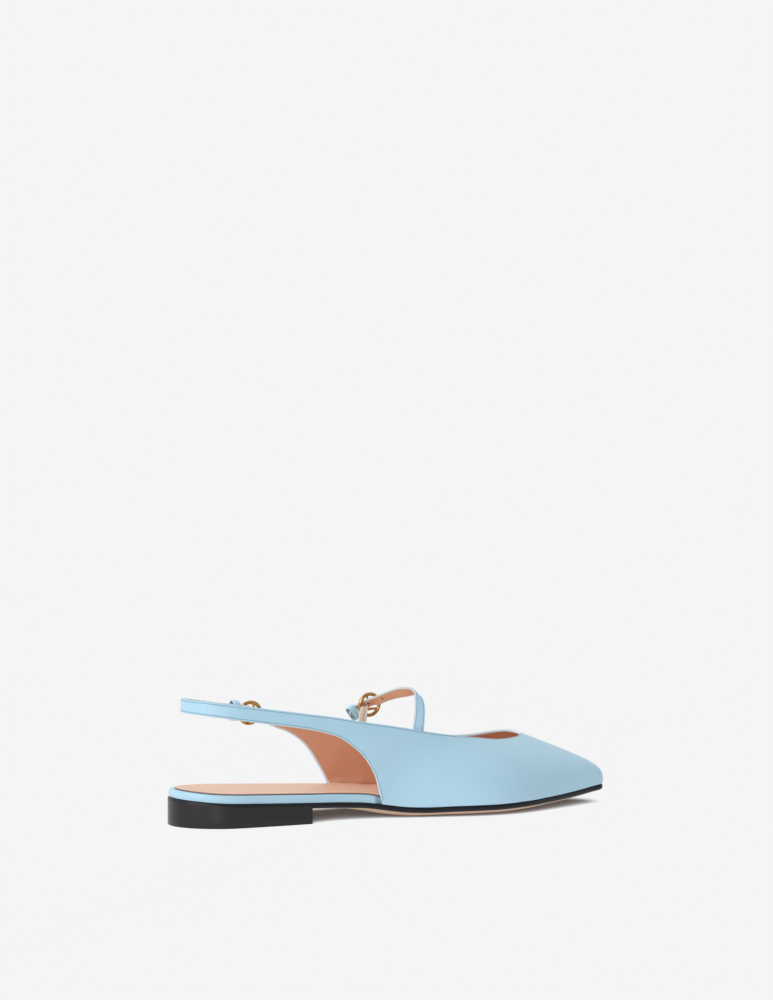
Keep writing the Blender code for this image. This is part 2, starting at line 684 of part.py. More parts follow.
def build_instep_buckle(parent):
    """Upright ring that the strap runs through, with a bar low across it for the tab and prong."""
    along, up, out = ring_axes(INSTEP_RING_ALONG, INSTEP_RING_UP)
    centre = place(INSTEP_RING)[0]
    ring = tube(ring_path(centre, along, up), WIRE_RADIUS, True, out)
    reach = math.sqrt(RING_RADIUS**2 - INSTEP_BAR_DROP**2)
    ends = np.linspace(-reach, reach, 3)[:, None] * along
    bar = tube(centre - INSTEP_BAR_DROP * up + ends, BAR_RADIUS, False, out)
    buckle = joined("instep_buckle", ring, bar, GOLD_METAL, parent)
    aside = INSTEP_PRONG_SIDE * along
    root = centre - INSTEP_BAR_DROP * up + aside
    path = prong_path(root, INSTEP_PRONG_TURN, INSTEP_PRONG, up, out)
    path.append(centre + RING_RADIUS * up + (WIRE_RADIUS + GAP + PRONG_RADIUS) * out + aside)
    solid("instep_prong", tube(path, PRONG_RADIUS, False, along), GOLD_METAL, parent)
    return buckle


def build_sling_buckle(parent):
    """Ring that lies on the fastening tongue, with a bar bowed in to the end of the sling strap."""
    along, up, out = ring_axes(SLING_RING_ALONG, SLING_RING_UP)
    centre = place(SLING_RING)[0]
    ring = tube(ring_path(centre, along, up), WIRE_RADIUS, True, out)
    rise = np.array(SLING_BAR_RISE)[:, None] * RING_RADIUS
    bow = np.array(SLING_BAR_IN)[:, None] * SLING_BAR_BOW
    bar = tube(centre + rise * up - bow * out, BAR_RADIUS, False, along)
    buckle = joined("sling_buckle", ring, bar, GOLD_METAL, parent)
    root = centre - SLING_BAR_BOW * out
    path = prong_path(root, SLING_PRONG_TURN, SLING_PRONG, along, out)
    path.append(centre + (RING_RADIUS + WIRE_RADIUS) * along + (WIRE_RADIUS + GAP + PRONG_RADIUS) * out)
    solid("sling_prong", tube(path, PRONG_RADIUS, False, up), GOLD_METAL, parent)
    return buckle


def build_tab(parent):
    """Short elastic tab from inside the lateral quarter up to the bar of the instep buckle."""
    foot, head = place(TAB_FOOT, TAB_HEAD)
    rise = np.linspace(0, 1, TAB_ROWS)[:, None, None]
    across = TAB_FOOT_WIDTH + rise * (TAB_HEAD_WIDTH - TAB_FOOT_WIDTH)
    width = across * np.linspace(-0.5, 0.5, TAB_COLUMNS)[:, None] * np.array((1.0, 0, 0))
    middle = foot + rise * (head - foot)
    half = np.array((0, STRAP_THICKNESS / 2, 0))
    return solid("instep_tab", shell(middle + width + half, middle + width - half), CREAM_ELASTIC, parent)


def build_keepers(parent):
    """Loop round the instep strap's free end, and loop that holds the tongue to the sling strap."""
    surface, rows = strap_surface()
    at = int(np.argmin(np.abs(rows - INSTEP_KEEPER_ROW)))
    along = surface[at + 1].mean(axis=0) - surface[at - 1].mean(axis=0)
    up = surface[at, 0] - surface[at, -1]
    half_up = np.linalg.norm(up) / 2 + 2 * GAP
    out = unit(np.cross(up, along))
    centre = surface[at].mean(axis=0) + out * KEEPER_SHIFT
    half_out = STRAP_THICKNESS / 2 + KEEPER_SLACK
    solid("instep_keeper", hoop(centre, along, up, half_up, half_out, KEEPER_WALL, KEEPER_LENGTH),
          BLUE_LEATHER, parent)
    along, up, _ = ring_axes(SLING_RING_ALONG, SLING_RING_UP)
    solid("sling_keeper", hoop(place(SLING_KEEPER)[0], along, up, SLING_KEEPER_HALF_UP,
                               SLING_KEEPER_HALF_OUT, KEEPER_WALL, KEEPER_LENGTH), BLUE_LEATHER, parent)


def centre_on_floor(parent):
    """Move the parent so that the origin lies under the middle of the whole shoe."""
    parts = [child for child in parent.children if not child.hide_render]
    points = np.array([vertex.co for part in parts for vertex in part.data.vertices])
    low = points.min(axis=0)
    high = points.max(axis=0)
    parent.location = (-(low[0] + high[0]) / 2, -(low[1] + high[1]) / 2, -low[2])


def main():
    """Build every piece of the shoe under one parent."""
    for old in list(bpy.data.objects):
        bpy.data.objects.remove(old)
    shoe = bpy.data.objects.new("shoe", None)
    bpy.context.scene.collection.objects.link(shoe)
    build_outsole(shoe)
    build_heel(shoe)
    build_insole_layer("covered_insole", 0.0, 0.0, GAP, GAP + BOARD, BLUE_LEATHER, shoe)
    sock_base = GAP + BOARD + GAP
    build_insole_layer("sock_lining", SOCK_INSET, SOCK_BACK_INSET, sock_base, sock_base + SOCK,
                       TAN_LEATHER, shoe)
    build_upper(shoe)
    build_instep_strap(shoe)
    build_instep_buckle(shoe)
    build_sling_buckle(shoe)
    build_tab(shoe)
    build_keepers(shoe)
    centre_on_floor(shoe)


main()
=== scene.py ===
"""Looks of a left slingback flat with an instep strap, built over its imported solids.

Metres, +Z up, toe towards +X and the outer side of the foot towards +Y, as in the frame.
Stations, across and height places are percents of the shoe's own sizes, from the back of the heel.
"""
import logging
import math
from collections.abc import Callable
from dataclasses import dataclass, field
from enum import Enum
from typing import NamedTuple

import bmesh
import bpy
import numpy as np
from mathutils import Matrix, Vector


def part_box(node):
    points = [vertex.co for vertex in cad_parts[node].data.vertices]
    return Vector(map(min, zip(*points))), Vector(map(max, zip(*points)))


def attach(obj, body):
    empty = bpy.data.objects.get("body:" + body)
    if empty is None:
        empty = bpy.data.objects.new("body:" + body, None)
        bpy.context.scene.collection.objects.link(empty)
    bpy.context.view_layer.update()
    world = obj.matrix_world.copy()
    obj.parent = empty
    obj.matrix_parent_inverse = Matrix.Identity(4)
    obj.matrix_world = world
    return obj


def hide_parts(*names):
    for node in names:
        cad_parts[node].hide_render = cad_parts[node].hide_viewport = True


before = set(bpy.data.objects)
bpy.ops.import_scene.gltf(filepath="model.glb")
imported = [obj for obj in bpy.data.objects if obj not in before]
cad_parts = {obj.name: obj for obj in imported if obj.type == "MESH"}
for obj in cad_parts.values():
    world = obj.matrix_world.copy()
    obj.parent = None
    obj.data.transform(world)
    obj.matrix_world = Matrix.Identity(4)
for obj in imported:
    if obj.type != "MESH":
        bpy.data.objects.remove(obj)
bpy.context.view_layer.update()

log = logging.getLogger("slingback_flat")
Array = np.ndarray
Height = Callable[[Array, Array], Array]

MM = 0.001
BODY = "root"
SHARP = math.radians(50)
HOLE_RADIUS = 0.0007
TIP_LEAST = 0.08


class Side(Enum):
    """Side of the foot that a rib of the upper starts on."""

    MEDIAL = -1
    FRONT = 0
    LATERAL = 1


class PlanRow(NamedTuple):
    """Half-widths of the sole at a station, in percent of half the ball width."""

    station: float
    medial: float
    lateral: float


class HeightRow(NamedTuple):
    """Heights of the sole at a station, in percent of the seat height."""

    station: float
    feather: float
    tread: float


class LastedRib(NamedTuple):
    """Rib of the upper that starts on the feather line: station, shoulder and collar places."""

    side: Side
    station: float
    shoulder: tuple[float, float, float]
    collar: tuple[float, float, float]
    fullness: float


class FreeRib(NamedTuple):
    """Rib of the upper behind the sides: lower edge, upper edge and outward bulge."""

    foot: tuple[float, float, float]
    collar: tuple[float, float, float]
    bulge: float


class StrapRow(NamedTuple):
    """Rear and front edge of the instep strap at one place along it."""

    rear: tuple[float, float, float]
    front: tuple[float, float, float]


class Crease(NamedTuple):
    """Soft ridge or trough of the upper, from one station and height to another.

    The width and the rise are in metres. A crease of the lining rises into the shoe.
    """

    side: Side
    start: tuple[float, float]
    end: tuple[float, float]
    width: float
    rise: float
    lining: bool


class ProngPoint(NamedTuple):
    """Place on a prong, counted from the middle of its bar, in metres."""

    ahead: float
    out: float


SOLE_PLAN = (
    PlanRow(0, 72, 72),
    PlanRow(14, 72.5, 72.5),
    PlanRow(27, 70, 71),
    PlanRow(36, 64.5, 72),
    PlanRow(45, 66, 80),
    PlanRow(55, 82, 91),
    PlanRow(64, 98.5, 98),
    PlanRow(70, 102.5, 97),
    PlanRow(76, 97, 88),
    PlanRow(84, 76, 68),
    PlanRow(92, 53, 46),
    PlanRow(97, 39, 32),
    PlanRow(100, 33.5, 26),
)

SOLE_HEIGHTS = (
    HeightRow(0, 100, 82),
    HeightRow(7, 89.5, 71.5),
    HeightRow(14, 84, 66),
    HeightRow(27, 74.5, 56.5),
    HeightRow(36, 67, 42),
    HeightRow(41, 60.5, 28),
    HeightRow(45, 49.5, 14),
    HeightRow(49, 40, 4),
    HeightRow(53, 36.5, -1),
    HeightRow(60, 39, -1),
    HeightRow(70, 41.5, -1),
    HeightRow(76, 45, 5),
    HeightRow(84, 50.5, 17),
    HeightRow(92, 59.5, 31),
    HeightRow(100, 74, 51),
)

LATERAL_REAR = (
    FreeRib((14.2, 72.5, 133), (14.2, 68.5, 149), 0),
    FreeRib((17.1, 74.0, 130.5), (17.1, 69.8, 147), 0),
    FreeRib((20.0, 74.5, 127.5), (20.1, 70.0, 144.5), 0),
    FreeRib((22.0, 74.2, 125.5), (22.1, 69.6, 142.5), 0),
    FreeRib((24.6, 73.2, 121.8), (24.8, 69.8, 140), 0),
    FreeRib((27.5, 72.4, 113.5), (28.0, 70.7, 136.5), 0.5),
    FreeRib((30.4, 73.2, 106.5), (31.5, 72.2, 132.6), 1),
    FreeRib((33.4, 74.6, 94.3), (35.2, 73.6, 128.5), 2),
    FreeRib((35.4, 75.5, 81.5), (39.0, 74.5, 124), 3),
    FreeRib((37.3, 76.0, 63.5), (43.2, 75.2, 119.5), 5),
    FreeRib((39.0, 76.0, 45.5), (47.0, 75.0, 116), 7),
)

LASTED = (
    LastedRib(Side.LATERAL, 40.6, (45.0, 89.0, 66), (51.0, 73.7, 111.5), 0.66),
    LastedRib(Side.LATERAL, 47.0, (49.5, 95.5, 64), (54.8, 71.2, 107), 0.66),
    LastedRib(Side.LATERAL, 54.0, (55.0, 101.5, 63), (58.6, 67.5, 102.5), 0.66),
    LastedRib(Side.LATERAL, 60.8, (60.8, 106.0, 63), (62.3, 63.0, 99), 0.67),
    LastedRib(Side.LATERAL, 66.5, (65.8, 107.5, 63), (65.8, 58.0, 96.5), 0.68),
    LastedRib(Side.LATERAL, 72.3, (70.8, 103.0, 64), (69.2, 51.0, 95.5), 0.69),
    LastedRib(Side.LATERAL, 78.0, (76.5, 91.0, 66), (72.4, 44.5, 96.5), 0.71),
    LastedRib(Side.LATERAL, 84.2, (82.7, 74.0, 66), (75.4, 38.0, 99.5), 0.75),
    LastedRib(Side.LATERAL, 90.8, (90.0, 55.5, 62.5), (78.0, 31.0, 102), 0.81),
    LastedRib(Side.LATERAL, 96.0, (96.5, 39.5, 57), (79.8, 21.5, 103), 0.89),
    LastedRib(Side.LATERAL, 100.0, (100.5, 23.5, 52.5), (81.0, 12.0, 101.5), 0.94),
    LastedRib(Side.FRONT, 100.0, (100.8, -4.0, 53.5), (81.5, 2.0, 99.5), 0.95),
    LastedRib(Side.MEDIAL, 100.0, (100.5, -32.0, 52.5), (81.0, -7.5, 98.5), 0.94),
    LastedRib(Side.MEDIAL, 96.0, (96.5, -47.5, 56), (80.0, -14.0, 97.5), 0.89),
    LastedRib(Side.MEDIAL, 91.0, (90.4, -63.0, 60.5), (78.4, -21.5, 96.5), 0.81),
    LastedRib(Side.MEDIAL, 85.0, (83.6, -80.0, 64), (76.3, -29.0, 96), 0.75),
    LastedRib(Side.MEDIAL, 79.0, (77.6, -96.5, 66), (73.8, -37.0, 96.2), 0.71),
    LastedRib(Side.MEDIAL, 73.0, (72.0, -107.5, 66), (70.8, -45.0, 98), 0.69),
    LastedRib(Side.MEDIAL, 67.3, (66.6, -110.0, 66), (67.0, -53.5, 101.5), 0.68),
    LastedRib(Side.MEDIAL, 61.5, (61.5, -106.0, 66), (63.0, -60.0, 104.5), 0.67),
    LastedRib(Side.MEDIAL, 55.5, (56.5, -97.5, 67), (59.6, -65.0, 107.8), 0.66),
    LastedRib(Side.MEDIAL, 49.6, (52.0, -88.0, 69), (56.4, -69.0, 110.9), 0.66),
    LastedRib(Side.MEDIAL, 44.2, (48.2, -81.0, 70), (52.8, -71.5, 114.9), 0.66),
)

MEDIAL_REAR = (
    FreeRib((43.1, -69.5, 38), (49.4, -72.8, 119), 5),
    FreeRib((41.8, -71.5, 61), (45.8, -73.5, 123), 4),
    FreeRib((39.4, -72.8, 83.5), (42.2, -73.6, 126.7), 3),
    FreeRib((36.6, -73.0, 99), (38.3, -73.2, 130.9), 2),
    FreeRib((33.8, -72.4, 110.2), (34.8, -72.3, 135.2), 1),
    FreeRib((30.4, -71.6, 117.5), (31.0, -71.2, 139), 0.5),
    FreeRib((25.4, -70.6, 124.2), (25.8, -69.8, 143.7), 0),
    FreeRib((19.4, -67.8, 129.9), (19.6, -66.8, 149.4), 0),
    FreeRib((13.9, -63.6, 135), (14.0, -62.4, 154.2), 0),
    FreeRib((9.6, -57.1, 139), (9.65, -55.9, 158), 0),
    FreeRib((6.0, -44.6, 142.1), (6.0, -43.6, 160.8), 0),
    FreeRib((3.75, -26.0, 143.8), (3.7, -25.4, 162), 0),
    FreeRib((2.85, 0, 144.2), (2.8, 0, 162.2), 0),
    FreeRib((3.75, 26.0, 143.6), (3.7, 25.4, 161.5), 0),
    FreeRib((6.0, 44.8, 141.4), (6.0, 43.4, 159.2), 0),
    FreeRib((9.6, 57.5, 137.4), (9.65, 55.3, 155.4), 0),
    FreeRib((13.9, 64.4, 133), (14.0, 61.4, 150.8), 0),
    FreeRib((17.5, 67.6, 130.4), (17.6, 63.8, 148), 0),
    FreeRib((21.3, 69.0, 127.4), (21.4, 65.0, 144.8), 0),
)

INSTEP_STRAP = (
    StrapRow((50.9, -65.0, 94), (53.3, -64.5, 92)),
    StrapRow((51.2, -65.8, 116.5), (53.8, -65.3, 114.5)),
    StrapRow((51.7, -65.0, 136.5), (54.2, -63.8, 135.5)),
    StrapRow((52.0, -62.5, 155.5), (54.3, -60.0, 150)),
    StrapRow((52.3, -56.0, 166), (54.1, -52.0, 158)),
    StrapRow((52.3, -44.0, 170.2), (53.7, -39.0, 160.8)),
    StrapRow((51.7, -27.0, 170), (53.0, -23.0, 157.3)),
    StrapRow((51.0, -5.0, 166.8), (52.3, -1.0, 154)),
    StrapRow((50.1, 20.0, 160), (51.4, 23.5, 148.5)),
    StrapRow((49.4, 47.0, 152.8), (51.0, 49.0, 142)),
    StrapRow((48.7, 68.5, 147), (50.7, 66.5, 140.4)),
    StrapRow((47.7, 81.0, 141.2), (49.2, 81.0, 133.5)),
    StrapRow((46.5, 86.0, 135.2), (48.2, 86.5, 126.8)),
    StrapRow((45.0, 82.5, 128.6), (46.7, 83.0, 121)),
)

CREASES = (
    Crease(Side.LATERAL, (39.6, 32.0), (42.5, 34.5), 0.0021, 0.0011, True),
    Crease(Side.LATERAL, (42.5, 34.5), (48.5, 32.0), 0.0021, 0.0011, True),
    Crease(Side.LATERAL, (40.5, 41.2), (46.0, 41.2), 0.0008, -0.0003, True),
    Crease(Side.MEDIAL, (49.5, 30.0), (52.5, 24.0), 0.0012, -0.00016, False),
    Crease(Side.MEDIAL, (51.5, 32.0), (55.0, 24.5), 0.0013, -0.00013, False),
    Crease(Side.MEDIAL, (62.0, 33.0), (66.5, 25.5), 0.0015, -0.00012, False),
)

STRAP_HOLES = (8.3, 10.1, 11.4)
TONGUE_HOLES = (19.9, 24.6, 27.0)

INSTEP_RING = (49.8, 71.3, 138.8)
INSTEP_RING_ALONG = (1.0, 0.08, 0.0)
INSTEP_RING_UP = (0.0, -0.10, 1.0)
INSTEP_PRONG_TURN = (-105, -80, -55, -30)
INSTEP_PRONG = (ProngPoint(0.0035, 0.0), ProngPoint(0.0059, 0.0006))
SLING_RING = (22.0, 75.6, 134.0)
SLING_ALONG = (1.0, 0.0, -0.16)
SLING_UP = (0.16, -0.24, 1.0)
SLING_BAR_RISE = (-1.0, -0.86, -0.74, 0, 0.74, 0.86, 1.0)
SLING_BAR_IN = (0, 0.62, 1, 1, 1, 0.62, 0)
SLING_PRONG_TURN = (-120, -80, -40, 0)
SLING_PRONG = (ProngPoint(0.0024, 0.0018), ProngPoint(0.0036, 0.0057))
SLING_KEEPER = (17.8, 66.8, 139)
SLING_KEEPER_HALVES = (0.0046, 0.0029)
TAB_FOOT = (47.1, 65.5, 96)
TAB_HEAD = (48.25, 65.6, 135)


def unit(vector: Array) -> Array:
    """Vectors scaled to length one, along the last axis."""
    vector = np.asarray(vector, float)
    return vector / np.maximum(np.linalg.norm(vector, axis=-1, keepdims=True), 1e-12)


def smooth(knots: Array, rows: Array, at: Array) -> Array:
    """Cubic curve through the rows of a table, with slopes from the neighbouring rows.

    Args:
        knots: place of each row along the curve, rising.
        rows: one value or one point per row.
        at: places to read the curve at.

    Returns:
        The values or points at those places.
    """
    knots = np.asarray(knots, float)
    rows = np.asarray(rows, float)
    at = np.asarray(at, float)
    slopes = np.gradient(rows, knots, axis=0)
    i = np.clip(np.searchsorted(knots, at) - 1, 0, len(knots) - 2)
    span = knots[i + 1] - knots[i]
    t = (at - knots[i]) / span
    if rows.ndim > 1:
        span = span[..., None]
        t = t[..., None]
    ends = rows[i] * (1 + 2 * t) * (1 - t) ** 2 + rows[i + 1] * t * t * (3 - 2 * t)
    return ends + span * (slopes[i] * t * (1 - t) ** 2 - slopes[i + 1] * t * t * (1 - t))


def soften(values: Array, passes: int) -> Array:
    """Values along a line averaged with their neighbours a few times, ends kept."""
    values = np.array(values, float)
    for _ in range(passes):
        values[1:-1] = (values[:-2] + 2 * values[1:-1] + values[2:]) / 4
    return values


def run_along(points: Array) -> Array:
    """Distance travelled at each point of a line."""
    steps = np.linalg.norm(np.diff(points, axis=0), axis=1)
    return np.concatenate([[0], np.cumsum(steps)])


def on_line(line: Array, run: Array, at: Array) -> Array:
    """Points of a line at given distances along it."""
    return np.stack([np.interp(at, run, line[:, axis]) for axis in range(line.shape[1])], axis=-1)


def spaced(knots: Array, step: float) -> Array:
    """Every knot, with even steps of about the given length between them."""
    spots = []
    for start, end in zip(knots[:-1], knots[1:]):
        cells = max(1, round((end - start) / step))
        spots.extend(np.linspace(start, end, cells, endpoint=False))
    return np.array(spots + [knots[-1]])


def ease(t: Array) -> Array:
    """Soft step from 0 to 1 with level ends."""
    t = np.clip(t, 0, 1)
    return t * t * (3 - 2 * t)


def tip_share(distance: Array, radius: float) -> Array:
    """Share of the full width at a distance t radii from a round tip: sqrt(1 - (1 - t)^2)."""
    t = np.clip(distance / radius, 0, 1)[:, None]
    return np.maximum(np.sqrt(1 - (1 - t) ** 2), TIP_LEAST)


def squared(wave: Array, power: float) -> Array:
    """Wave from -1 to 1 raised to a power with its sign kept, which squares a round section up."""
    return np.sign(wave) * np.abs(wave) ** power


@dataclass
class Skin:
    """Mesh held as whole arrays.

    Attributes:
        points: one row of three coordinates per point.
        quads: four point numbers per face.
        slots: number of each face's finish.
    """

    points: Array
    quads: Array
    slots: Array

    @staticmethod
    def joined(skins: list["Skin"]) -> "Skin":
        """One skin from several, with the point numbers moved on."""
        starts = np.cumsum([0] + [len(skin.points) for skin in skins[:-1]])
        return Skin(
            np.concatenate([skin.points for skin in skins]),
            np.concatenate([skin.quads + start for skin, start in zip(skins, starts)]),
            np.concatenate([skin.slots for skin in skins]),
        )

    def mesh(self, name: str) -> bpy.types.Mesh:
        """Blender mesh of the arrays, with doubled points merged and faces turned out."""
        mesh = bpy.data.meshes.new(name)
        mesh.vertices.add(len(self.points))
        mesh.vertices.foreach_set("co", self.points.astype(np.float32).ravel())
        mesh.loops.add(self.quads.size)
        mesh.loops.foreach_set("vertex_index", self.quads.astype(np.int32).ravel())
        mesh.polygons.add(len(self.quads))
        mesh.polygons.foreach_set("loop_start", np.arange(0, self.quads.size, 4, dtype=np.int32))
        mesh.polygons.foreach_set("material_index", self.slots.astype(np.int32))
        mesh.update(calc_edges=True)
        body = bmesh.new()
        body.from_mesh(mesh)
        bmesh.ops.remove_doubles(body, verts=body.verts, dist=1e-7)
        bmesh.ops.dissolve_degenerate(body, edges=body.edges, dist=1e-7)
        bmesh.ops.recalc_face_normals(body, faces=body.faces)
        body.to_mesh(mesh)
        body.free()
        return mesh


def grid_quads(rows: int, columns: int, wrap_rows: bool = False, wrap_columns: bool = False) -> Array:
    """Quads of a grid of points, numbered row by row.

    Args:
        rows: points along the first parameter.
        columns: points along the second parameter.
        wrap_rows: join the last row to the first.
        wrap_columns: join the last column to the first.

    Returns:
        Four point numbers per quad, in row order.
    """
    index = np.arange(rows * columns).reshape(rows, columns)
    if wrap_rows:
        index = np.concatenate([index, index[:1]])
    if wrap_columns:
        index = np.concatenate([index, index[:, :1]], axis=1)
    corners = (index[:-1, :-1], index[1:, :-1], index[1:, 1:], index[:-1, 1:])
    return np.stack(corners, axis=-1).reshape(-1, 4)


def show(
    skin: Skin, name: str, finishes: list["Finish"], nodes: tuple[str, ...] = ()
) -> bpy.types.Object:
    """Object made from a skin, riding on the shoe.

    Args:
        skin: its mesh arrays.
        name: name of the piece.
        finishes: its finishes, in the order of the skin's slots.
        nodes: solids that the piece stands for.

    Returns:
        The new object, at the origin.
    """
    mesh = skin.mesh(name)
    mesh.shade_smooth()
    mesh.set_sharp_from_angle(angle=SHARP)
    for finish in finishes:
        mesh.materials.append(finish.material())
    piece = bpy.data.objects.new(name, mesh)
    bpy.context.scene.collection.objects.link(piece)
    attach(piece, BODY)
    if nodes:
        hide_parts(*nodes)
    log.info("%s: %d faces", name, len(mesh.polygons))
    return piece


def punch(piece: bpy.types.Object, wall: "LeatherWall", rows: Array) -> None:
    """Cut round holes through a leather wall, in the last of its finishes.

    Args:
        piece: object that shows the wall.
        wall: its surfaces.
        rows: ribs of the wall whose middle each hole goes through.
    """
    column = wall.outer.shape[1] // 2
    middle = (wall.outer[rows, column] + wall.inner[rows, column]) / 2
    normal = wall.normal[rows, column]
    side = wall.outer[rows + 1, column] - wall.outer[rows - 1, column]
    reach = np.linspace(-2, 2, 3)[:, None] * wall.wall
    rods = [tube(m + reach * n, HOLE_RADIUS, s, False) for m, n, s in zip(middle, normal, side)]
    skin = Skin.joined(rods)
    cutter = bpy.data.objects.new("holes", skin.mesh("holes"))
    for finish in piece.data.materials:
        cutter.data.materials.append(finish)
    # The hole walls take the last finish, which paints the shade inside the holes.
    last_finish = np.full(len(cutter.data.polygons), len(piece.data.materials) - 1, np.int32)
    cutter.data.polygons.foreach_set("material_index", last_finish)
    bpy.context.scene.collection.objects.link(cutter)
    cut = piece.modifiers.new("holes", "BOOLEAN")
    cut.operation = "DIFFERENCE"
    cut.object = cutter
    drawn = piece.evaluated_get(bpy.context.evaluated_depsgraph_get())
    mesh = bpy.data.meshes.new_from_object(drawn)
    piece.modifiers.clear()
    piece.data = mesh
    mesh.set_sharp_from_angle(angle=SHARP)
    bpy.data.objects.remove(cutter)
    log.info("%s: %d holes", piece.name, len(rods))


class Wires:
    """Small helper that adds nodes to a material and links them."""

    def __init__(self, name: str) -> None:
        """Start a material with a Principled shader."""
        self.material = bpy.data.materials.new(name)
        self.material.use_nodes = True
        self.tree = self.material.node_tree
        self.shader = self.tree.nodes["Principled BSDF"]

    def node(self, kind: str, **settings: object) -> bpy.types.Node:
        """New node; a setting named like one of its inputs sets that, and the rest are properties."""
        made = self.tree.nodes.new(kind)
        for key, value in settings.items():
            name = key.replace("_", " ")
            if name in made.inputs:
                made.inputs[name].default_value = value
            else:
                setattr(made, key, value)
        return made

    def link(self, source: bpy.types.NodeSocket, target: bpy.types.NodeSocket) -> None:
        """Link two sockets."""
        self.tree.links.new(source, target)

    def object_places(self) -> bpy.types.NodeSocket:
        """Object coordinates."""
        return self.node("ShaderNodeTexCoord").outputs["Object"]

    def ramp(self, source: bpy.types.NodeSocket, low: float, high: float) -> bpy.types.NodeSocket:
        """A value mapped from 0..1 to low..high."""
        made = self.node("ShaderNodeMapRange", To_Min=low, To_Max=high)
        self.link(source, made.inputs["Value"])
        return made.outputs["Result"]

    def blend(self, share: bpy.types.NodeSocket, first: tuple, second: tuple) -> bpy.types.NodeSocket:
        """Colour between two, by a share."""
        made = self.node("ShaderNodeMix", data_type="RGBA")
        made.inputs[6].default_value = (*first, 1.0)
        made.inputs[7].default_value = (*second, 1.0)
        self.link(share, made.inputs["Factor"])
        return made.outputs[2]


@dataclass(frozen=True)
class Finish:
    """Surface finish: colour with soft mottling, gloss, and a fine grain.

    Attributes:
        name: name of the material.
        colour: linear red, green and blue.
        roughness: middle roughness, which the mottling moves a little.
        metallic: 1 for bare metal.
        coat: weight of the clear coat.
        coat_roughness: roughness of that coat.
        sheen: weight of the soft sheen of fibres.
        specular: strength of the mirror reflection.
        tint: colour of the mirror reflection at a slant.
        mottle: share by which the colour varies.
        mottle_size: size of the mottling in metres.
        rough_swing: share by which the roughness varies.
        grain_size: size of the grain cells in metres.
        grain_height: height of the grain in metres.
    """

    name: str
    colour: tuple[float, float, float]
    roughness: float = 0.5
    metallic: float = 0.0
    coat: float = 0.0
    coat_roughness: float = 0.2
    sheen: float = 0.0
    specular: float = 0.5
    tint: tuple[float, float, float] = (1.0, 1.0, 1.0)
    mottle: float = 0.03
    mottle_size: float = 0.012
    rough_swing: float = 0.12
    grain_size: float = 0.0006
    grain_height: float = 0.00002

    def material(self) -> bpy.types.Material:
        """The finish's material, made once."""
        made = bpy.data.materials.get(self.name)
        if made is None:
            made = self.build()
        return made

    def tones(self) -> tuple[tuple, tuple]:
        """Darker and lighter colour that the mottling runs between."""
        dark = tuple(c * (1 - self.mottle) for c in self.colour)
        light = tuple(min(1.0, c * (1 + self.mottle)) for c in self.colour)
        return dark, light

    def build(self) -> bpy.types.Material:
        """Mottled colour and roughness from one noise, and bump from cells the size of the grain."""
        wires = Wires(self.name)
        shader = wires.shader
        shader.inputs["Metallic"].default_value = self.metallic
        shader.inputs["Coat Weight"].default_value = self.coat
        shader.inputs["Coat Roughness"].default_value = self.coat_roughness
        shader.inputs["Sheen Weight"].default_value = self.sheen
        shader.inputs["Specular IOR Level"].default_value = self.specular
        shader.inputs["Specular Tint"].default_value = (*self.tint, 1.0)
        places = wires.object_places()
        cloud = wires.node("ShaderNodeTexNoise", Scale=1 / self.mottle_size, Detail=4.0, Roughness=0.6)
        wires.link(places, cloud.inputs["Vector"])
        wires.link(wires.blend(cloud.outputs["Fac"], *self.tones()), shader.inputs["Base Color"])
        roughest = self.roughness * (1 + self.rough_swing)
        smoothest = self.roughness * (1 - self.rough_swing)
        rough = wires.ramp(cloud.outputs["Fac"], roughest, smoothest)
        wires.link(rough, shader.inputs["Roughness"])
        cells = wires.node("ShaderNodeTexVoronoi", Scale=1 / self.grain_size, feature="SMOOTH_F1")
        wires.link(places, cells.inputs["Vector"])
        bump = wires.node("ShaderNodeBump", Strength=1.0, Distance=self.grain_height)
        wires.link(cells.outputs["Distance"], bump.inputs["Height"])
        wires.link(bump.outputs["Normal"], shader.inputs["Normal"])
        return wires.material


def elastic(name: str, colour: tuple[float, float, float]) -> Finish:
    """Finish of one woven stripe of the elastic."""
    return Finish(name, colour, 0.8, sheen=0.3, mottle=0.08, mottle_size=0.001, grain_size=0.0003,
                  grain_height=0.00005)


BLUE_LEATHER = Finish("pale_blue_leather", (0.40, 0.62, 0.76), 0.40, coat=0.12, coat_roughness=0.3)
# Strap leather: a slightly lighter copy of the blue leather, painted light on the straps and keepers.
STRAP_LEATHER_LIT = Finish("pale_blue_strap_leather_painted_light", (0.42, 0.64, 0.78), 0.40, coat=0.12, coat_roughness=0.3)
TAN_LINING = Finish("tan_lining_leather", (0.68, 0.33, 0.20), 0.55, mottle=0.06, grain_height=0.00003)
STRAP_LINING = Finish("tan_strap_lining", (0.60, 0.32, 0.20), 0.55, mottle=0.06, grain_height=0.00003)
# Pale rims: partly the cut edge's own paler colour, partly a painted highlight along the rims.
PALE_RIM_AND_HIGHLIGHT = Finish("pale_cut_rim_painted_highlight", (0.60, 0.70, 0.76), 0.5, mottle=0.05)
# Grey strap rims: the strap's cut edge greyed as painted shade along its edges.
STRAP_RIM_SHADE = Finish("strap_cut_rim_painted_shade", (0.50, 0.55, 0.57), 0.5, mottle=0.05)
SOCK_LEATHER = Finish("sock_leather", (0.82, 0.53, 0.39), 0.5, mottle=0.03)
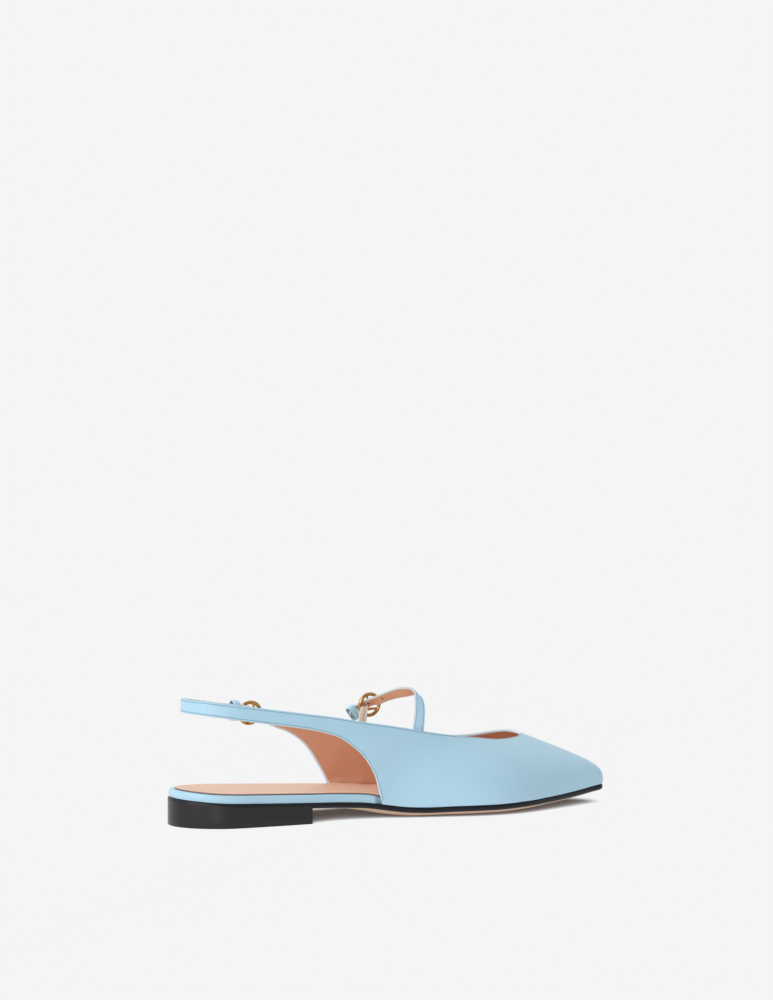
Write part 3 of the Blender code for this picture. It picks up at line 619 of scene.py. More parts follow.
# Dark sock edge: painted shade of the gap between the sock and the insole cover.
SOCK_RIM_SHADE = Finish("sock_rim_painted_shade", (0.27, 0.19, 0.15), 0.7, mottle=0.1)
BLACK_EDGE = Finish("black_edge_paint", (0.009, 0.009, 0.013), 0.36, specular=0.3, mottle=0.2,
                    grain_height=0.00001)
TREAD_LEATHER = Finish("tan_tread_leather", (0.55, 0.36, 0.25), 0.65, mottle=0.08, grain_height=0.00004)
HEEL_LACQUER = Finish("black_heel_lacquer", (0.009, 0.0085, 0.009), 0.30, specular=0.40, mottle=0.15,
                      grain_height=0.00001)
GOLD = Finish("gold_plate", (0.55, 0.32, 0.12), 0.21, metallic=1.0, tint=(0.30, 0.16, 0.07), mottle=0.04,
              mottle_size=0.002, grain_height=0.000004)
BEIGE_ELASTIC = elastic("beige_elastic", (0.80, 0.72, 0.60))
GREY_ELASTIC = elastic("grey_elastic", (0.54, 0.52, 0.49))
WHITE_ELASTIC = elastic("white_elastic", (0.85, 0.81, 0.77))
BLUE_THREAD = Finish("blue_grey_thread", (0.15, 0.28, 0.37), 0.6, sheen=0.1, mottle=0.1, mottle_size=0.001,
                     grain_size=0.0002, grain_height=0.00003)
# Near-black hole walls: painted shade inside the punched holes.
HOLE_SHADE = Finish("hole_wall_painted_shade", (0.10, 0.05, 0.03), 0.8)
# Inside of the keeper loops: blue like the leather, darkened as painted shade inside the loops.
KEEPER_INSIDE_SHADE = Finish("blue_grey_keeper_inside_shade", (0.26, 0.38, 0.44), 0.6)


@dataclass
class Last:
    """Sizes of the shoe that every piece is worked out from, and the lines of its sole."""

    sole_length: float = 0.260
    ball_width: float = 0.076
    seat_height: float = 0.015
    throat_height: float = 0.042
    seat_round: float = 0.127 * 0.260
    toe_corner: float = 0.105 * 0.038
    gap: float = 0.0003
    sole_edge: float = 0.0027
    flat_tread: float = 0.5
    origin: Array = field(default_factory=lambda: np.zeros(3))

    def find_origin(self) -> None:
        """Back of the heel on the middle of the sole, read from the frame."""
        sole_low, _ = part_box("outsole")
        heel_low, heel_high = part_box("heel")
        self.origin = np.array((sole_low.x, (heel_low.y + heel_high.y) / 2, 0.0))

    def place(self, spots: list) -> Array:
        """Places given as station, across and height percents, in the frame's metres."""
        share = (self.sole_length / 100, self.ball_width / 200, self.throat_height / 100)
        return np.asarray(spots, float) * share + self.origin

    def height(self, x: Array, column: str) -> Array:
        """Height of the feather line or the middle of the tread, x metres from the heel."""
        stations = [row.station for row in SOLE_HEIGHTS]
        heights = [getattr(row, column) for row in SOLE_HEIGHTS]
        percent = smooth(stations, heights, 100 * x / self.sole_length)
        return np.maximum(percent, 0) * self.seat_height / 100

    def half_width(self, x: Array, side: Side, inset: float | Array = 0.0) -> Array:
        """Half-width of the sole plan on one side, drawn in all round by an inset.

        The plan is rounded as a half ellipse at the seat and as a quarter circle at each toe corner.
        """
        stations = [row.station for row in SOLE_PLAN]
        column = [row.medial if side is Side.MEDIAL else row.lateral for row in SOLE_PLAN]
        width = smooth(stations, column, 100 * x / self.sole_length) * self.ball_width / 200 - inset
        back = np.clip(1 - (x - inset) / (self.seat_round - inset), 0, 1)
        corner = np.maximum(self.toe_corner - inset, self.toe_corner / 4)
        into = np.clip((x - self.sole_length + inset + corner) / corner, 0, 1)
        return width * np.sqrt(1 - back**2) - corner * (1 - np.sqrt(1 - into**2))

    def under(self, x: Array, y: Array) -> Array:
        """Height of the sole's underside: a flat tread that rises in a curve to its edges."""
        half = np.where(y < 0, self.half_width(x, Side.MEDIAL), self.half_width(x, Side.LATERAL))
        share = np.clip(np.abs(y) / np.maximum(half, 1e-4), 0, 1)
        feather = self.height(x, "feather")
        tread = np.minimum(self.height(x, "tread"), feather - self.sole_edge)
        crown = np.clip((share - self.flat_tread) / (1 - self.flat_tread), 0, 1) ** 2
        return tread + (feather - self.sole_edge - tread) * crown

    def feather_line(self) -> tuple[Array, Array]:
        """Edge of the sole from the lateral waist round the toe to the medial waist."""
        corner = self.sole_length - self.toe_corner * (1 - np.sin(np.linspace(0, math.pi / 2, 40)))
        x = np.concatenate([np.linspace(0.3 * self.sole_length, corner[0], 500)[:-1], corner])
        height = self.height(x, "feather") + self.gap
        lateral = np.stack([x, self.half_width(x, Side.LATERAL), height], axis=-1)
        medial = np.stack([x, -self.half_width(x, Side.MEDIAL), height], axis=-1)
        return np.concatenate([lateral, medial[::-1]]) + self.origin, x

    def outline(self, medial: Array, lateral: Array, x: Array) -> Array:
        """Closed plan outline: lateral side forward, across the front, medial side back."""
        front = np.linspace(lateral[-1], -medial[-1], 14)[1:-1]
        across = np.stack([np.full(len(front), x[-1]), front], axis=-1)
        out = np.stack([x, lateral], axis=-1)
        back = np.stack([x, -medial], axis=-1)[::-1]
        return np.concatenate([out, across, back[:-1]])

    def stations(self, start: float, end: float) -> Array:
        """Stations for a layer, closer together at the round seat and the toe corners."""
        turn = np.linspace(0, math.pi / 2, 41)
        seat = start + (self.seat_round - start) * (1 - np.cos(turn))
        middle = np.linspace(self.seat_round, end - self.toe_corner, 180)
        toe = end - self.toe_corner * (1 - np.sin(np.linspace(0, math.pi / 2, 17)))
        return np.concatenate([seat[:-1], middle[:-1], toe])


@dataclass
class LeatherWall:
    """Wall of leather carried along ribs, with rounded rims, stitched grooves and a lining inside.

    Each rib is a cubic curve from its foot to its collar. The wall's half thickness follows a
    quarter circle at each rim. A groove runs beside each free rim for its stitches.
    """

    foot: Array
    lower_handle: Array
    upper_handle: Array
    collar: Array
    wall: float
    foot_free: Array
    middle_cells: int = 26
    stitch_inset: float = 0.00098
    pale_cells: int = 3
    throat_cells: int = 6
    pale_from: float = math.inf
    groove_depth: float = 0.00024
    groove_width: float = 0.00030
    groove_steps: tuple[float, ...] = (-0.5, -0.32, -0.16, 0, 0.16, 0.32, 0.5, 0.9)
    fold_fade: float = 0.0004
    puff: float = 0.00010
    lasted_round: float = 0.0004

    def rim(self) -> Array:
        """Distances from a rim at which the wall is sampled: round steps, then the stitch groove."""
        radius = self.wall / 2
        turn = np.linspace(0, math.pi / 2, 6)
        groove = self.stitch_inset + np.array(self.groove_steps) * MM
        return np.concatenate([radius * (1 - np.cos(turn)), groove[groove > radius]])

    def relief(self, distance: Array) -> Array:
        """Height of the outer face beside a rim: a soft fold, then the trough of the stitches."""
        trough = -self.groove_depth * np.exp(-(((distance - self.stitch_inset) / self.groove_width) ** 2))
        fade = ease((self.stitch_inset - distance) / self.fold_fade)
        fold = self.puff * ease(distance / (self.wall / 2)) * fade
        return trough + fold

    def surfaces(self) -> None:
        """Work out outer and inner grids, and the stitch lines on the outer face."""
        v = np.linspace(0, 1, 161)[:, None]
        weights = ((1 - v) ** 3, 3 * v * (1 - v) ** 2, 3 * v * v * (1 - v), v**3)
        corners = (self.foot, self.lower_handle, self.upper_handle, self.collar)
        curves = sum(w * c[:, None] for w, c in zip(weights, corners))
        steps = np.linalg.norm(np.diff(curves, axis=1), axis=2)
        run = np.concatenate([np.zeros((len(curves), 1)), np.cumsum(steps, axis=1)], axis=1)
        length = run[:, -1:]
        low_slant = self.slant(self.foot, curves[:, 1] - curves[:, 0])
        high_slant = self.slant(self.collar, curves[:, -1] - curves[:, -2])
        rim = self.rim()
        share = np.linspace(0, 1, self.middle_cells + 1)[1:-1]
        low = np.minimum(rim / low_slant, length * 0.45)
        high = length - np.minimum(rim / high_slant, length * 0.45)[:, ::-1]
        between = low[:, -1:] + share * (high[:, :1] - low[:, -1:])
        target = np.concatenate([low, between, high], axis=1)
        cell = np.clip((run[:, None, :] <= target[:, :, None]).sum(axis=2) - 1, 0, run.shape[1] - 2)
        rows = np.arange(len(run))[:, None]
        t = (target - run[rows, cell]) / np.maximum(run[rows, cell + 1] - run[rows, cell], 1e-12)
        face = curves[rows, cell] * (1 - t[..., None]) + curves[rows, cell + 1] * t[..., None]

        normal = unit(np.cross(np.gradient(face, axis=1), np.gradient(face, axis=0)))
        middle = face - normal * self.wall / 2
        radius = self.wall / 2
        flat = np.full(len(share), 1.0)
        low_round = np.where(self.foot_free[:, None] > 0.5, radius, self.lasted_round)
        low_part = np.sqrt(np.clip(1 - (1 - np.minimum(rim / low_round, 1)) ** 2, 0, 1))
        high_part = np.sqrt(1 - (1 - np.minimum(rim / radius, 1)) ** 2)[::-1]
        around = np.ones((len(face), 1))
        half = radius * np.concatenate([low_part, around * flat, around * high_part], axis=1)
        low_relief = self.foot_free[:, None] * self.relief(rim)
        relief = np.concatenate([low_relief, around * flat * 0, around * self.relief(rim)[::-1]], axis=1)
        self.outer = middle + normal * (half + relief)[..., None]
        self.inner = middle - normal * half[..., None]
        self.flat = half > 0.99 * radius
        self.normal = normal
        self.rim_cells = int(np.argmin(np.abs(rim - radius)))
        self.stitch_column = int(np.argmin(np.abs(rim - self.stitch_inset)))

    def crease(self, crease: Crease, last: Last) -> None:
        """Raise or sink one face along a line seen from the side: rise exp(-(distance / width)^2)."""
        ends = last.place([(spot[0], 0, spot[1]) for spot in (crease.start, crease.end)])[:, ::2]
        face = self.inner if crease.lining else self.outer
        places = face[..., ::2] - ends[0]
        line = ends[1] - ends[0]
        share = np.clip(places @ line / (line @ line), 0, 1)
        distance = np.linalg.norm(places - share[..., None] * line, axis=-1)
        here = self.flat & ((face[..., 1] - last.origin[1]) * crease.side.value > 0)
        rise = here * crease.rise * np.exp(-((distance / crease.width) ** 2))
        face += self.normal * (rise * (-1 if crease.lining else 1))[..., None]

    @staticmethod
    def slant(edge: Array, rib: Array) -> Array:
        """Sine of the angle between an edge and the ribs that leave it, as a column."""
        sine = np.linalg.norm(np.cross(unit(np.gradient(edge, axis=0)), unit(rib)), axis=1)
        return soften(np.clip(sine, 0.35, 1), 4)[:, None]

    def skin(self) -> Skin:
        """Closed wall: outer face, rims, lining and the two end caps.

        Slot 0 is leather, slot 1 lining and slot 2 the pale cut rim of a free edge: the cut edge's own
        paler colour with a painted highlight.
        """
        rows, columns = self.outer.shape[:2]
        loop = np.concatenate([self.outer, self.inner[:, -2:0:-1]], axis=1)
        around = loop.shape[1]
        quads = grid_quads(rows, around, wrap_columns=True)
        slots = np.ones((rows - 1, around), int)
        slots[:, :columns - 1] = 0
        # Slot 2 paints the pale rims: the cut edge's own colour with a painted highlight, widened round the
        # throat.
        slots[:, columns - 2:columns - 1 + self.rim_cells] = 2
        free = self.foot_free[:-1] > 0.5
        slots[free, :self.pale_cells] = 2
        throat = self.collar[:-1, 0] > self.pale_from
        slots[throat, columns - 1 - self.throat_cells:columns - 1] = 2
        slots[free, around - self.rim_cells:] = 2
        sides = [Skin(loop.reshape(-1, 3), quads, slots.ravel())]
        for row in (0, rows - 1):
            cap = np.stack([self.outer[row], self.inner[row]])
            sides.append(Skin(cap.reshape(-1, 3), grid_quads(2, columns), np.zeros(columns - 1, int)))
        return Skin.joined(sides)

    def middle_line(self) -> Array:
        """Line along the middle of the outer face."""
        return self.outer[:, self.outer.shape[1] // 2]

    def stitch_line(self, at_collar: bool) -> tuple[Array, Array]:
        """Line of stitches beside the collar or the foot, with its normals."""
        column = -1 - self.stitch_column if at_collar else self.stitch_column
        return self.outer[:, column], self.normal[:, column]


@dataclass
class StitchRow:
    """Row of thread stitches that lie in a groove: each an elongated bead along the line."""

    pitch: float = 0.0017
    length: float = 0.00125
    radius: float = 0.00022
    lift: float = 0.00004
    probe: float = 0.0003

    def skin(self, line: Array, normal: Array) -> Skin:
        """Beads along a line.

        A bead is a surface of turn with half-width sqrt(1 - s^4) of its radius at s from its middle.
        """
        run = run_along(line)
        count = max(2, int(run[-1] / self.pitch))
        at = (np.arange(count) + 0.5) * run[-1] / count
        middle = on_line(line, run, at)
        along = unit(on_line(line, run, at + self.probe) - on_line(line, run, at - self.probe))
        up = on_line(normal, run, at)
        up = unit(up - along * np.sum(up * along, axis=1, keepdims=True))
        side = np.cross(along, up)
        s = np.linspace(-1, 1, 7)
        turn = np.linspace(0, 2 * math.pi, 6, endpoint=False)
        swell = np.sqrt(1 - s**4) * self.radius
        length = (s * self.length / 2)[None, :, None, None] * along[:, None, None]
        rise = (swell[:, None] * np.sin(turn))[None, :, :, None] * up[:, None, None]
        reach = (swell[:, None] * np.cos(turn))[None, :, :, None] * side[:, None, None]
        points = (middle + self.lift * up)[:, None, None] + length + rise + reach
        quads = grid_quads(len(s), len(turn), wrap_columns=True)
        shift = np.arange(count)[:, None, None] * len(s) * len(turn)
        quads = (quads[None] + shift).reshape(-1, 4)
        return Skin(points.reshape(-1, 3), quads, np.zeros(len(quads), int))


def tube(path: Array, radius: Array | float, side: Array, closed: bool, sides: int = 20) -> Skin:
    """Round rod along a path; with round ends where the path is open.

    Args:
        path: middle line.
        radius: radius, the same all along or one value per point.
        side: vector that doesn't run along the path.
        closed: join the end to the start.
        sides: points round the rod.

    Returns:
        The rod's skin.
    """
    path = np.asarray(path, float)
    radius = np.broadcast_to(np.asarray(radius, float), len(path))
    if closed:
        tangent = unit(np.roll(path, -1, axis=0) - np.roll(path, 1, axis=0))
    else:
        tangent = unit(np.gradient(path, axis=0))
        turn = np.linspace(0, math.pi / 2, 6)[:-1]
        start = path[0] - tangent[0] * radius[0] * np.cos(turn)[:, None]
        end = path[-1] + tangent[-1] * radius[-1] * np.cos(turn[::-1])[:, None]
        path = np.concatenate([start, path, end])
        tangent = np.concatenate([np.tile(tangent[0], (5, 1)), tangent, np.tile(tangent[-1], (5, 1))])
        radius = np.concatenate([radius[0] * np.sin(turn), radius, radius[-1] * np.sin(turn[::-1])])
    across = unit(np.cross(tangent, side))
    up = np.cross(across, tangent)
    turn = np.linspace(0, 2 * math.pi, sides, endpoint=False)
    spokes = np.cos(turn)[:, None] * across[:, None] + np.sin(turn)[:, None] * up[:, None]
    points = path[:, None] + radius[:, None, None] * spokes
    quads = grid_quads(len(path), sides, wrap_rows=closed, wrap_columns=True)
    return Skin(points.reshape(-1, 3), quads, np.zeros(len(quads), int))


def layered(outline: Array, spine: Array, rings: list) -> Array:
    """Rings of a layer from a closed plan outline.

    Args:
        outline: plan points, anticlockwise or clockwise.
        spine: for each plan point, the point that the filling shrinks to.
        rings: inset of each ring, one value or one per plan point, and its share out from the spine.

    Returns:
        Plan points of each ring, one row per ring.
    """
    along = unit(np.roll(outline, -1, axis=0) - np.roll(outline, 1, axis=0))
    normal = np.stack([along[:, 1], -along[:, 0]], axis=-1)
    centre = outline.mean(axis=0)
    turned = np.sign(np.sum(normal * (outline - centre), axis=1).mean())
    insets = np.stack([np.broadcast_to(ring[0], len(outline)) for ring in rings])
    inner = outline - turned * normal * insets[..., None]
    share = np.array([ring[1] for ring in rings])[:, None, None]
    return spine + (inner - spine) * share


@dataclass
class Upper:
    """Vamp, quarters, sling strap and fastening tongue, lined, with stitched edges."""

    last: Last
    wall: float = 0.0017
    rib_step: float = 0.0012
    tip_round: float = 0.0034
    throat_start: float = 0.62

    def rib_lines(self) -> LeatherWall:
        """Dense ribs through the tables, softened along the shoe."""
        last = self.last
        line, x = last.feather_line()
        run = run_along(line)
        half = len(x)
        stations = np.array([rib.station for rib in LASTED]) * last.sole_length / 100
        starts = np.select(
            [[rib.side is Side.LATERAL for rib in LASTED], [rib.side is Side.MEDIAL for rib in LASTED]],
            [np.interp(stations, x, run[:half]), np.interp(stations, x, run[half:][::-1])],
            (run[half - 1] + run[half]) / 2)
        ordered = LATERAL_REAR + LASTED + MEDIAL_REAR
        first = len(LATERAL_REAR)
        final = first + len(LASTED) - 1
        lateral_feet = last.place([rib.foot for rib in LATERAL_REAR])
        medial_feet = last.place([rib.foot for rib in MEDIAL_REAR])
        feet = np.concatenate([lateral_feet, on_line(line, run, starts), medial_feet])
        collars = last.place([rib.collar for rib in ordered])
        shoulders = last.place([self.shoulder(rib) for rib in ordered])
        fullness = np.array([getattr(rib, "fullness", 2 / 3) for rib in ordered])
        knots = (run_along(feet) + run_along(collars)) / 2
        spots = spaced(knots, self.rib_step)

        foot = on_line(line, run, smooth(knots[first:final + 1], starts, spots))
        before = spots < knots[first]
        after = spots > knots[final]
        foot[before] = smooth(knots[:first + 1], feet[:first + 1], spots[before])
        foot[after] = smooth(knots[final:], feet[final:], spots[after])
        collar = soften(smooth(knots, collars, spots), 6)
        shoulder = soften(smooth(knots, shoulders, spots), 6)
        pull = soften(smooth(knots, fullness, spots), 6)[:, None]
        keep = tip_share(spots - spots[0], self.tip_round)
        middle = (foot + collar) / 2
        foot = middle + (foot - middle) * keep
        collar = middle + (collar - middle) * keep
        shoulder = middle + (shoulder - middle) * keep
        lower = foot + pull * (shoulder - foot)
        upper = collar + pull * (shoulder - collar)
        free = (before | after).astype(float)
        # Ahead of this the collar's pale rim widens round the throat, partly a painted highlight.
        throat = last.origin[0] + self.throat_start * last.sole_length
        return LeatherWall(foot, lower, upper, collar, self.wall, free, pale_from=throat)

    @staticmethod
    def shoulder(rib: LastedRib | FreeRib) -> tuple:
        """Shoulder place of a rib: a free rib's is the middle of its edges, pushed out."""
        if isinstance(rib, LastedRib):
            return rib.shoulder
        middle = (np.array(rib.foot) + np.array(rib.collar)) / 2
        middle[1] += math.copysign(rib.bulge, middle[1])
        return tuple(middle)

    def build(self) -> None:
        """Wall of the upper and the stitches beside its edges."""
        wall = self.rib_lines()
        wall.surfaces()
        for crease in CREASES:
            wall.crease(crease, self.last)
        finishes = [BLUE_LEATHER, TAN_LINING, PALE_RIM_AND_HIGHLIGHT, HOLE_SHADE]
        piece = show(wall.skin(), "upper_leather", finishes, ("upper",))
        tongue = wall.middle_line()[:, 0] - self.last.origin[0]
        half = len(tongue) // 3
        spots = np.array(TONGUE_HOLES) * self.last.sole_length / 100
        punch(piece, wall, np.searchsorted(tongue[:half], spots))
        row = StitchRow()
        rows = [row.skin(*wall.stitch_line(True))]
        free = wall.foot_free > 0.5
        line, normal = wall.stitch_line(False)
        breaks = np.flatnonzero(np.diff(free.astype(int)))
        rows.append(row.skin(line[1:breaks[0] + 1], normal[1:breaks[0] + 1]))
        rows.append(row.skin(line[breaks[1] + 1:-1], normal[breaks[1] + 1:-1]))
        show(Skin.joined(rows), "upper_stitches", [BLUE_THREAD])


@dataclass
class SoleUnit:
    """Outsole, heel block, covered insole and sock lining, as layers of the sole's plan."""

    last: Last
    board: float = 0.0043
    sock: float = 0.0006
    wall: float = 0.0017
    rear_inset: float = 0.0006
    sock_inset: float = 0.0021
    sock_back: float = 0.0013
    sock_spread: float = 0.0033
    step_length: float = 0.018 * 0.260
    heel_breast: float = 0.279 * 0.260
    breast_blend: float = 0.004
    heel_middle: float = 0.004
    heel_rim: float = 0.0004
    edge_bulge: float = 0.0007
    tread_shares: tuple[float, ...] = (0.97, 0.92, 0.85, 0.76, 0.66, 0.55, 0.4, 0.2, 0.0)
    cover_bend: float = 0.0013
    cover_rim: float = 0.0003
    sock_rim: float = 0.0004
    waist_pad: float = 0.0013
    pad_rise: tuple[float, float] = (0.38, 0.09)
    pad_fall: tuple[float, float] = (0.62, 0.10)
    pad_side: tuple[float, float] = (0.28, 0.5)
    spine_ends: tuple[float, float] = (0.10, 0.95)
    spine_margin: float = 0.01

    def spine(self, outline: Array) -> Array:
        """Points on the middle line that each plan point shrinks to."""
        back, front = (end * self.last.sole_length for end in self.spine_ends)
        x = np.clip(outline[:, 0], back, front)
        return np.stack([np.minimum(x, outline[:, 0].max() - self.spine_margin), 0 * x], axis=-1)

    def build(self) -> None:
        """Every layer of the sole."""
        self.build_outsole()
        self.build_heel()
        self.build_insole()

    def sheet(
        self, name: str, outline: Array, rings: list, heights: list[Height],
        finishes: list[Finish], slots: list, node: str,
    ) -> None:
        """Closed layer from rings of the outline: top's middle, over the edge, bottom's middle.

        Args:
            name: name of the piece.
            outline: closed plan outline, from the back of the heel.
            rings: inset and share of each ring.
            heights: for each ring, a function of plan x and y.
            finishes: finishes of the piece.
            slots: finish of the band after each ring, one value or one per plan point.
            node: solid that the piece stands for.
        """
        plan = layered(outline, self.spine(outline), rings)
        z = np.stack([height(ring[:, 0], ring[:, 1]) for height, ring in zip(heights, plan)])
        points = np.concatenate([plan, z[..., None]], axis=2) + self.last.origin
        count = len(outline)
        quads = grid_quads(len(rings), count, wrap_columns=True)
        bands = np.stack([np.broadcast_to(band, count) for band in slots[:len(rings) - 1]])
        skin = Skin(points.reshape(-1, 3), quads, bands.ravel())
        show(skin, name, finishes, (node,))

    def build_outsole(self) -> None:
        """Thin sole with a round painted edge over a tan tread; at the heel the edge joins the block."""
        last = self.last
        x = last.stations(0.0, last.sole_length)
        outline = last.outline(last.half_width(x, Side.MEDIAL), last.half_width(x, Side.LATERAL), x)
        ahead = ease((outline[:, 0] - self.heel_breast) / self.breast_blend + 0.5)

        def top(drop: float) -> Height:
            """Height below the feather line."""
            return lambda x, y: last.height(x, "feather") - drop

        rings = [(self.edge_bulge, 0.0), (self.edge_bulge, 0.5)]
        heights = [top(0), top(0)]
        for angle in np.linspace(0, math.pi, 15):
            free = self.edge_bulge * (1 - math.sin(angle))
            flush = free if angle < math.pi / 2 else 0.0
            rings.append((flush + (free - flush) * ahead, 1))
            heights.append(top(last.sole_edge / 2 * (1 - math.cos(angle))))
        rims = len(rings) - 1
        block = np.where(outline[:, 0] < self.heel_breast, 2, 0)
        slots = [0] * (rims // 2 + 1) + [block] * (rims - rims // 2 - 1)
        low = rings[-1][0]
        for share in self.tread_shares:
            rings.append((low, share))
            heights.append(last.under)
            slots.append(1)
        finishes = [BLACK_EDGE, TREAD_LEATHER, HEEL_LACQUER]
        self.sheet("outsole_leather", outline, rings, heights, finishes, slots, "outsole")

    def build_heel(self) -> None:
        """Low block with a straight breast and a softly rounded lower rim."""
        last = self.last
        turn = np.linspace(0, math.pi / 2, 41)
        seat = last.seat_round * (1 - np.cos(turn))
        x = np.concatenate([seat, np.linspace(last.seat_round, self.heel_breast, 40)[1:]])
        outline = last.outline(last.half_width(x, Side.MEDIAL), last.half_width(x, Side.LATERAL), x)

        def top(x: Array, y: Array) -> Array:
            """Underside of the sole, which the block is glued to."""
            return np.minimum(last.height(x, "feather") - last.sole_edge, last.height(x, "tread"))

        def level(z: float) -> Height:
            """The same height all over."""
            return lambda x, y: np.full(x.shape, z)

        rim = self.heel_rim
        rings = [(0, 0), (0, 0.6), (0, 1), (0, 1), (0, 1), (rim / 4, 1), (rim, 1), (rim, 0.6), (rim, 0)]
        levels = (self.heel_middle, rim, rim / 4, 0.0, 0.0, 0.0)
        heights = [top, top, top] + [level(z) for z in levels]
        slots = [0] * len(rings)
        self.sheet("heel_block", outline, rings, heights, [HEEL_LACQUER], slots, "heel")

    def insole_outline(self, extra: float = 0.0, back: float = 0.0, spread: float = 0.0) -> Array:
        """Plan of an insole layer: full width at the open heel, inside the wall ahead of it.

        Args:
            extra: further inset all round.
            back: further inset at the back of the seat, which fades out along its round.
            spread: how much wider the layer is inside the wall.

        Returns:
            Closed plan outline.
        """
        last = self.last
        inside = self.wall + 2 * last.gap + self.rear_inset
        x = last.stations(self.rear_inset + extra + back, last.sole_length - inside - extra)
        seat = back * np.clip(1 - (x - x[0]) / last.seat_round, 0, 1) ** 2
        insets = []
        for rib in (LASTED[-1], LASTED[0]):
            corner = rib.station * last.sole_length / 100
            step = ease((x - corner + self.step_length + 2 * last.gap) / self.step_length)
            insets.append(self.rear_inset + (inside - self.rear_inset - spread) * step + extra + seat)
        medial = last.half_width(x, Side.MEDIAL, insets[0])
        lateral = last.half_width(x, Side.LATERAL, insets[1])
        return last.outline(medial, lateral, x)

    def padded(self, rise: float) -> Height:
        """Height of the sock, with a pad that fills the fall at the waist on the outer side."""
        last = self.last

        def height(x: Array, y: Array) -> Array:
            """Feather line, rise and pad at plan places."""
            station = x / last.sole_length
            rising = ease((station - self.pad_rise[0]) / self.pad_rise[1])
            falling = ease((self.pad_fall[0] - station) / self.pad_fall[1])
            across = ease((y / last.ball_width + self.pad_side[0]) / self.pad_side[1])
            pad = self.waist_pad * rising * falling * across
            return last.height(x, "feather") + last.gap + rise + pad

        return height

    def build_insole(self) -> None:
        """Board wrapped in blue leather with a round top edge, and the sock on it."""
        last = self.last

        def above(rise: float) -> Height:
            """Height over the feather line."""
            return lambda x, y: last.height(x, "feather") + last.gap + rise

        turn = np.linspace(0, math.pi / 2, 7)
        bend = self.cover_bend
        top = self.board
        rings = [(bend, 0.0), (bend, 0.6)]
        heights = [above(top), above(top)]
        for angle in turn:
            rings.append((bend * (1 - math.sin(angle)), 1))
            heights.append(above(top - bend * (1 - math.cos(angle))))
        rim = self.cover_rim
        rings += [(0, 1), (rim, 1), (rim, 0.5), (rim, 0)]
        heights += [above(rim)] + [above(0.0)] * 3
        slots = [0] * len(rings)
        self.sheet("insole_cover", self.insole_outline(), rings, heights, [BLUE_LEATHER], slots,
                   "covered_insole")
        base = self.board + last.gap
        rim = self.sock_rim
        rings = [(rim, share) for share in (0, 0.3, 0.6, 0.85, 1)]
        rings += [(rim / 4, 1), (0, 1), (0, 1), (rim / 2, 0.6), (rim / 2, 0)]
        drops = (0, 0, 0, 0, 0, rim / 4, 3 * rim / 4)
        heights = [self.padded(base + self.sock - drop) for drop in drops] + [above(base)] * 3
        plan = self.insole_outline(self.sock_inset, self.sock_back, self.sock_spread)
        # The sock's rim rings take the dark finish, a painted shade of the gap at its edge.
        slots = [0] * 5 + [1] * 4
        self.sheet("sock_sheet", plan, rings, heights, [SOCK_LEATHER, SOCK_RIM_SHADE], slots, "sock_lining")


@dataclass
class InstepStrap:
    """Narrow strap over the instep with stitched edges, a lining and punched holes."""

    last: Last
    thickness: float = 0.0015
    step: float = 0.0008
    end_round: float = 0.0030
    bare_ends: tuple[int, int] = (4, 6)

    def lines(self, rounded: bool = True) -> tuple[Array, Array, Array]:
        """Rear and front edges of the strap, dense and softened, with their row numbers.

        Args:
            rounded: draw the free end in to a round tip.

        Returns:
            Rear edge, front edge and the table row, counted on, of each point.
        """
        rear = self.last.place([row.rear for row in INSTEP_STRAP])
        front = self.last.place([row.front for row in INSTEP_STRAP])
        knots = run_along((rear + front) / 2)
        spots = spaced(knots, self.step)
        rear = soften(smooth(knots, rear, spots), 8)
        front = soften(smooth(knots, front, spots), 8)
        if rounded:
            keep = tip_share(spots[-1] - spots, self.end_round)
            middle = (rear + front) / 2
            rear = middle + (rear - middle) * keep
            front = middle + (front - middle) * keep
        return rear, front, np.interp(spots, knots, np.arange(len(knots)))

    def build(self) -> None:
        """Wall of the strap and its stitches."""
        rear, front, rows = self.lines()
        third = (front - rear) / 3
        free = np.ones(len(rear))
        wall = LeatherWall(rear, rear + third, front - third, front, self.thickness, free, middle_cells=8)
        wall.surfaces()
        finishes = [STRAP_LEATHER_LIT, STRAP_LINING, STRAP_RIM_SHADE, HOLE_SHADE]
        piece = show(wall.skin(), "instep_strap_leather", finishes, ("instep_strap",))
        punch(piece, wall, np.searchsorted(rows, STRAP_HOLES))
        row = StitchRow()
        sewn = slice(self.bare_ends[0], -self.bare_ends[1])
        beads = [row.skin(*(part[sewn] for part in wall.stitch_line(at))) for at in (True, False)]
        show(Skin.joined(beads), "instep_strap_stitches", [BLUE_THREAD])


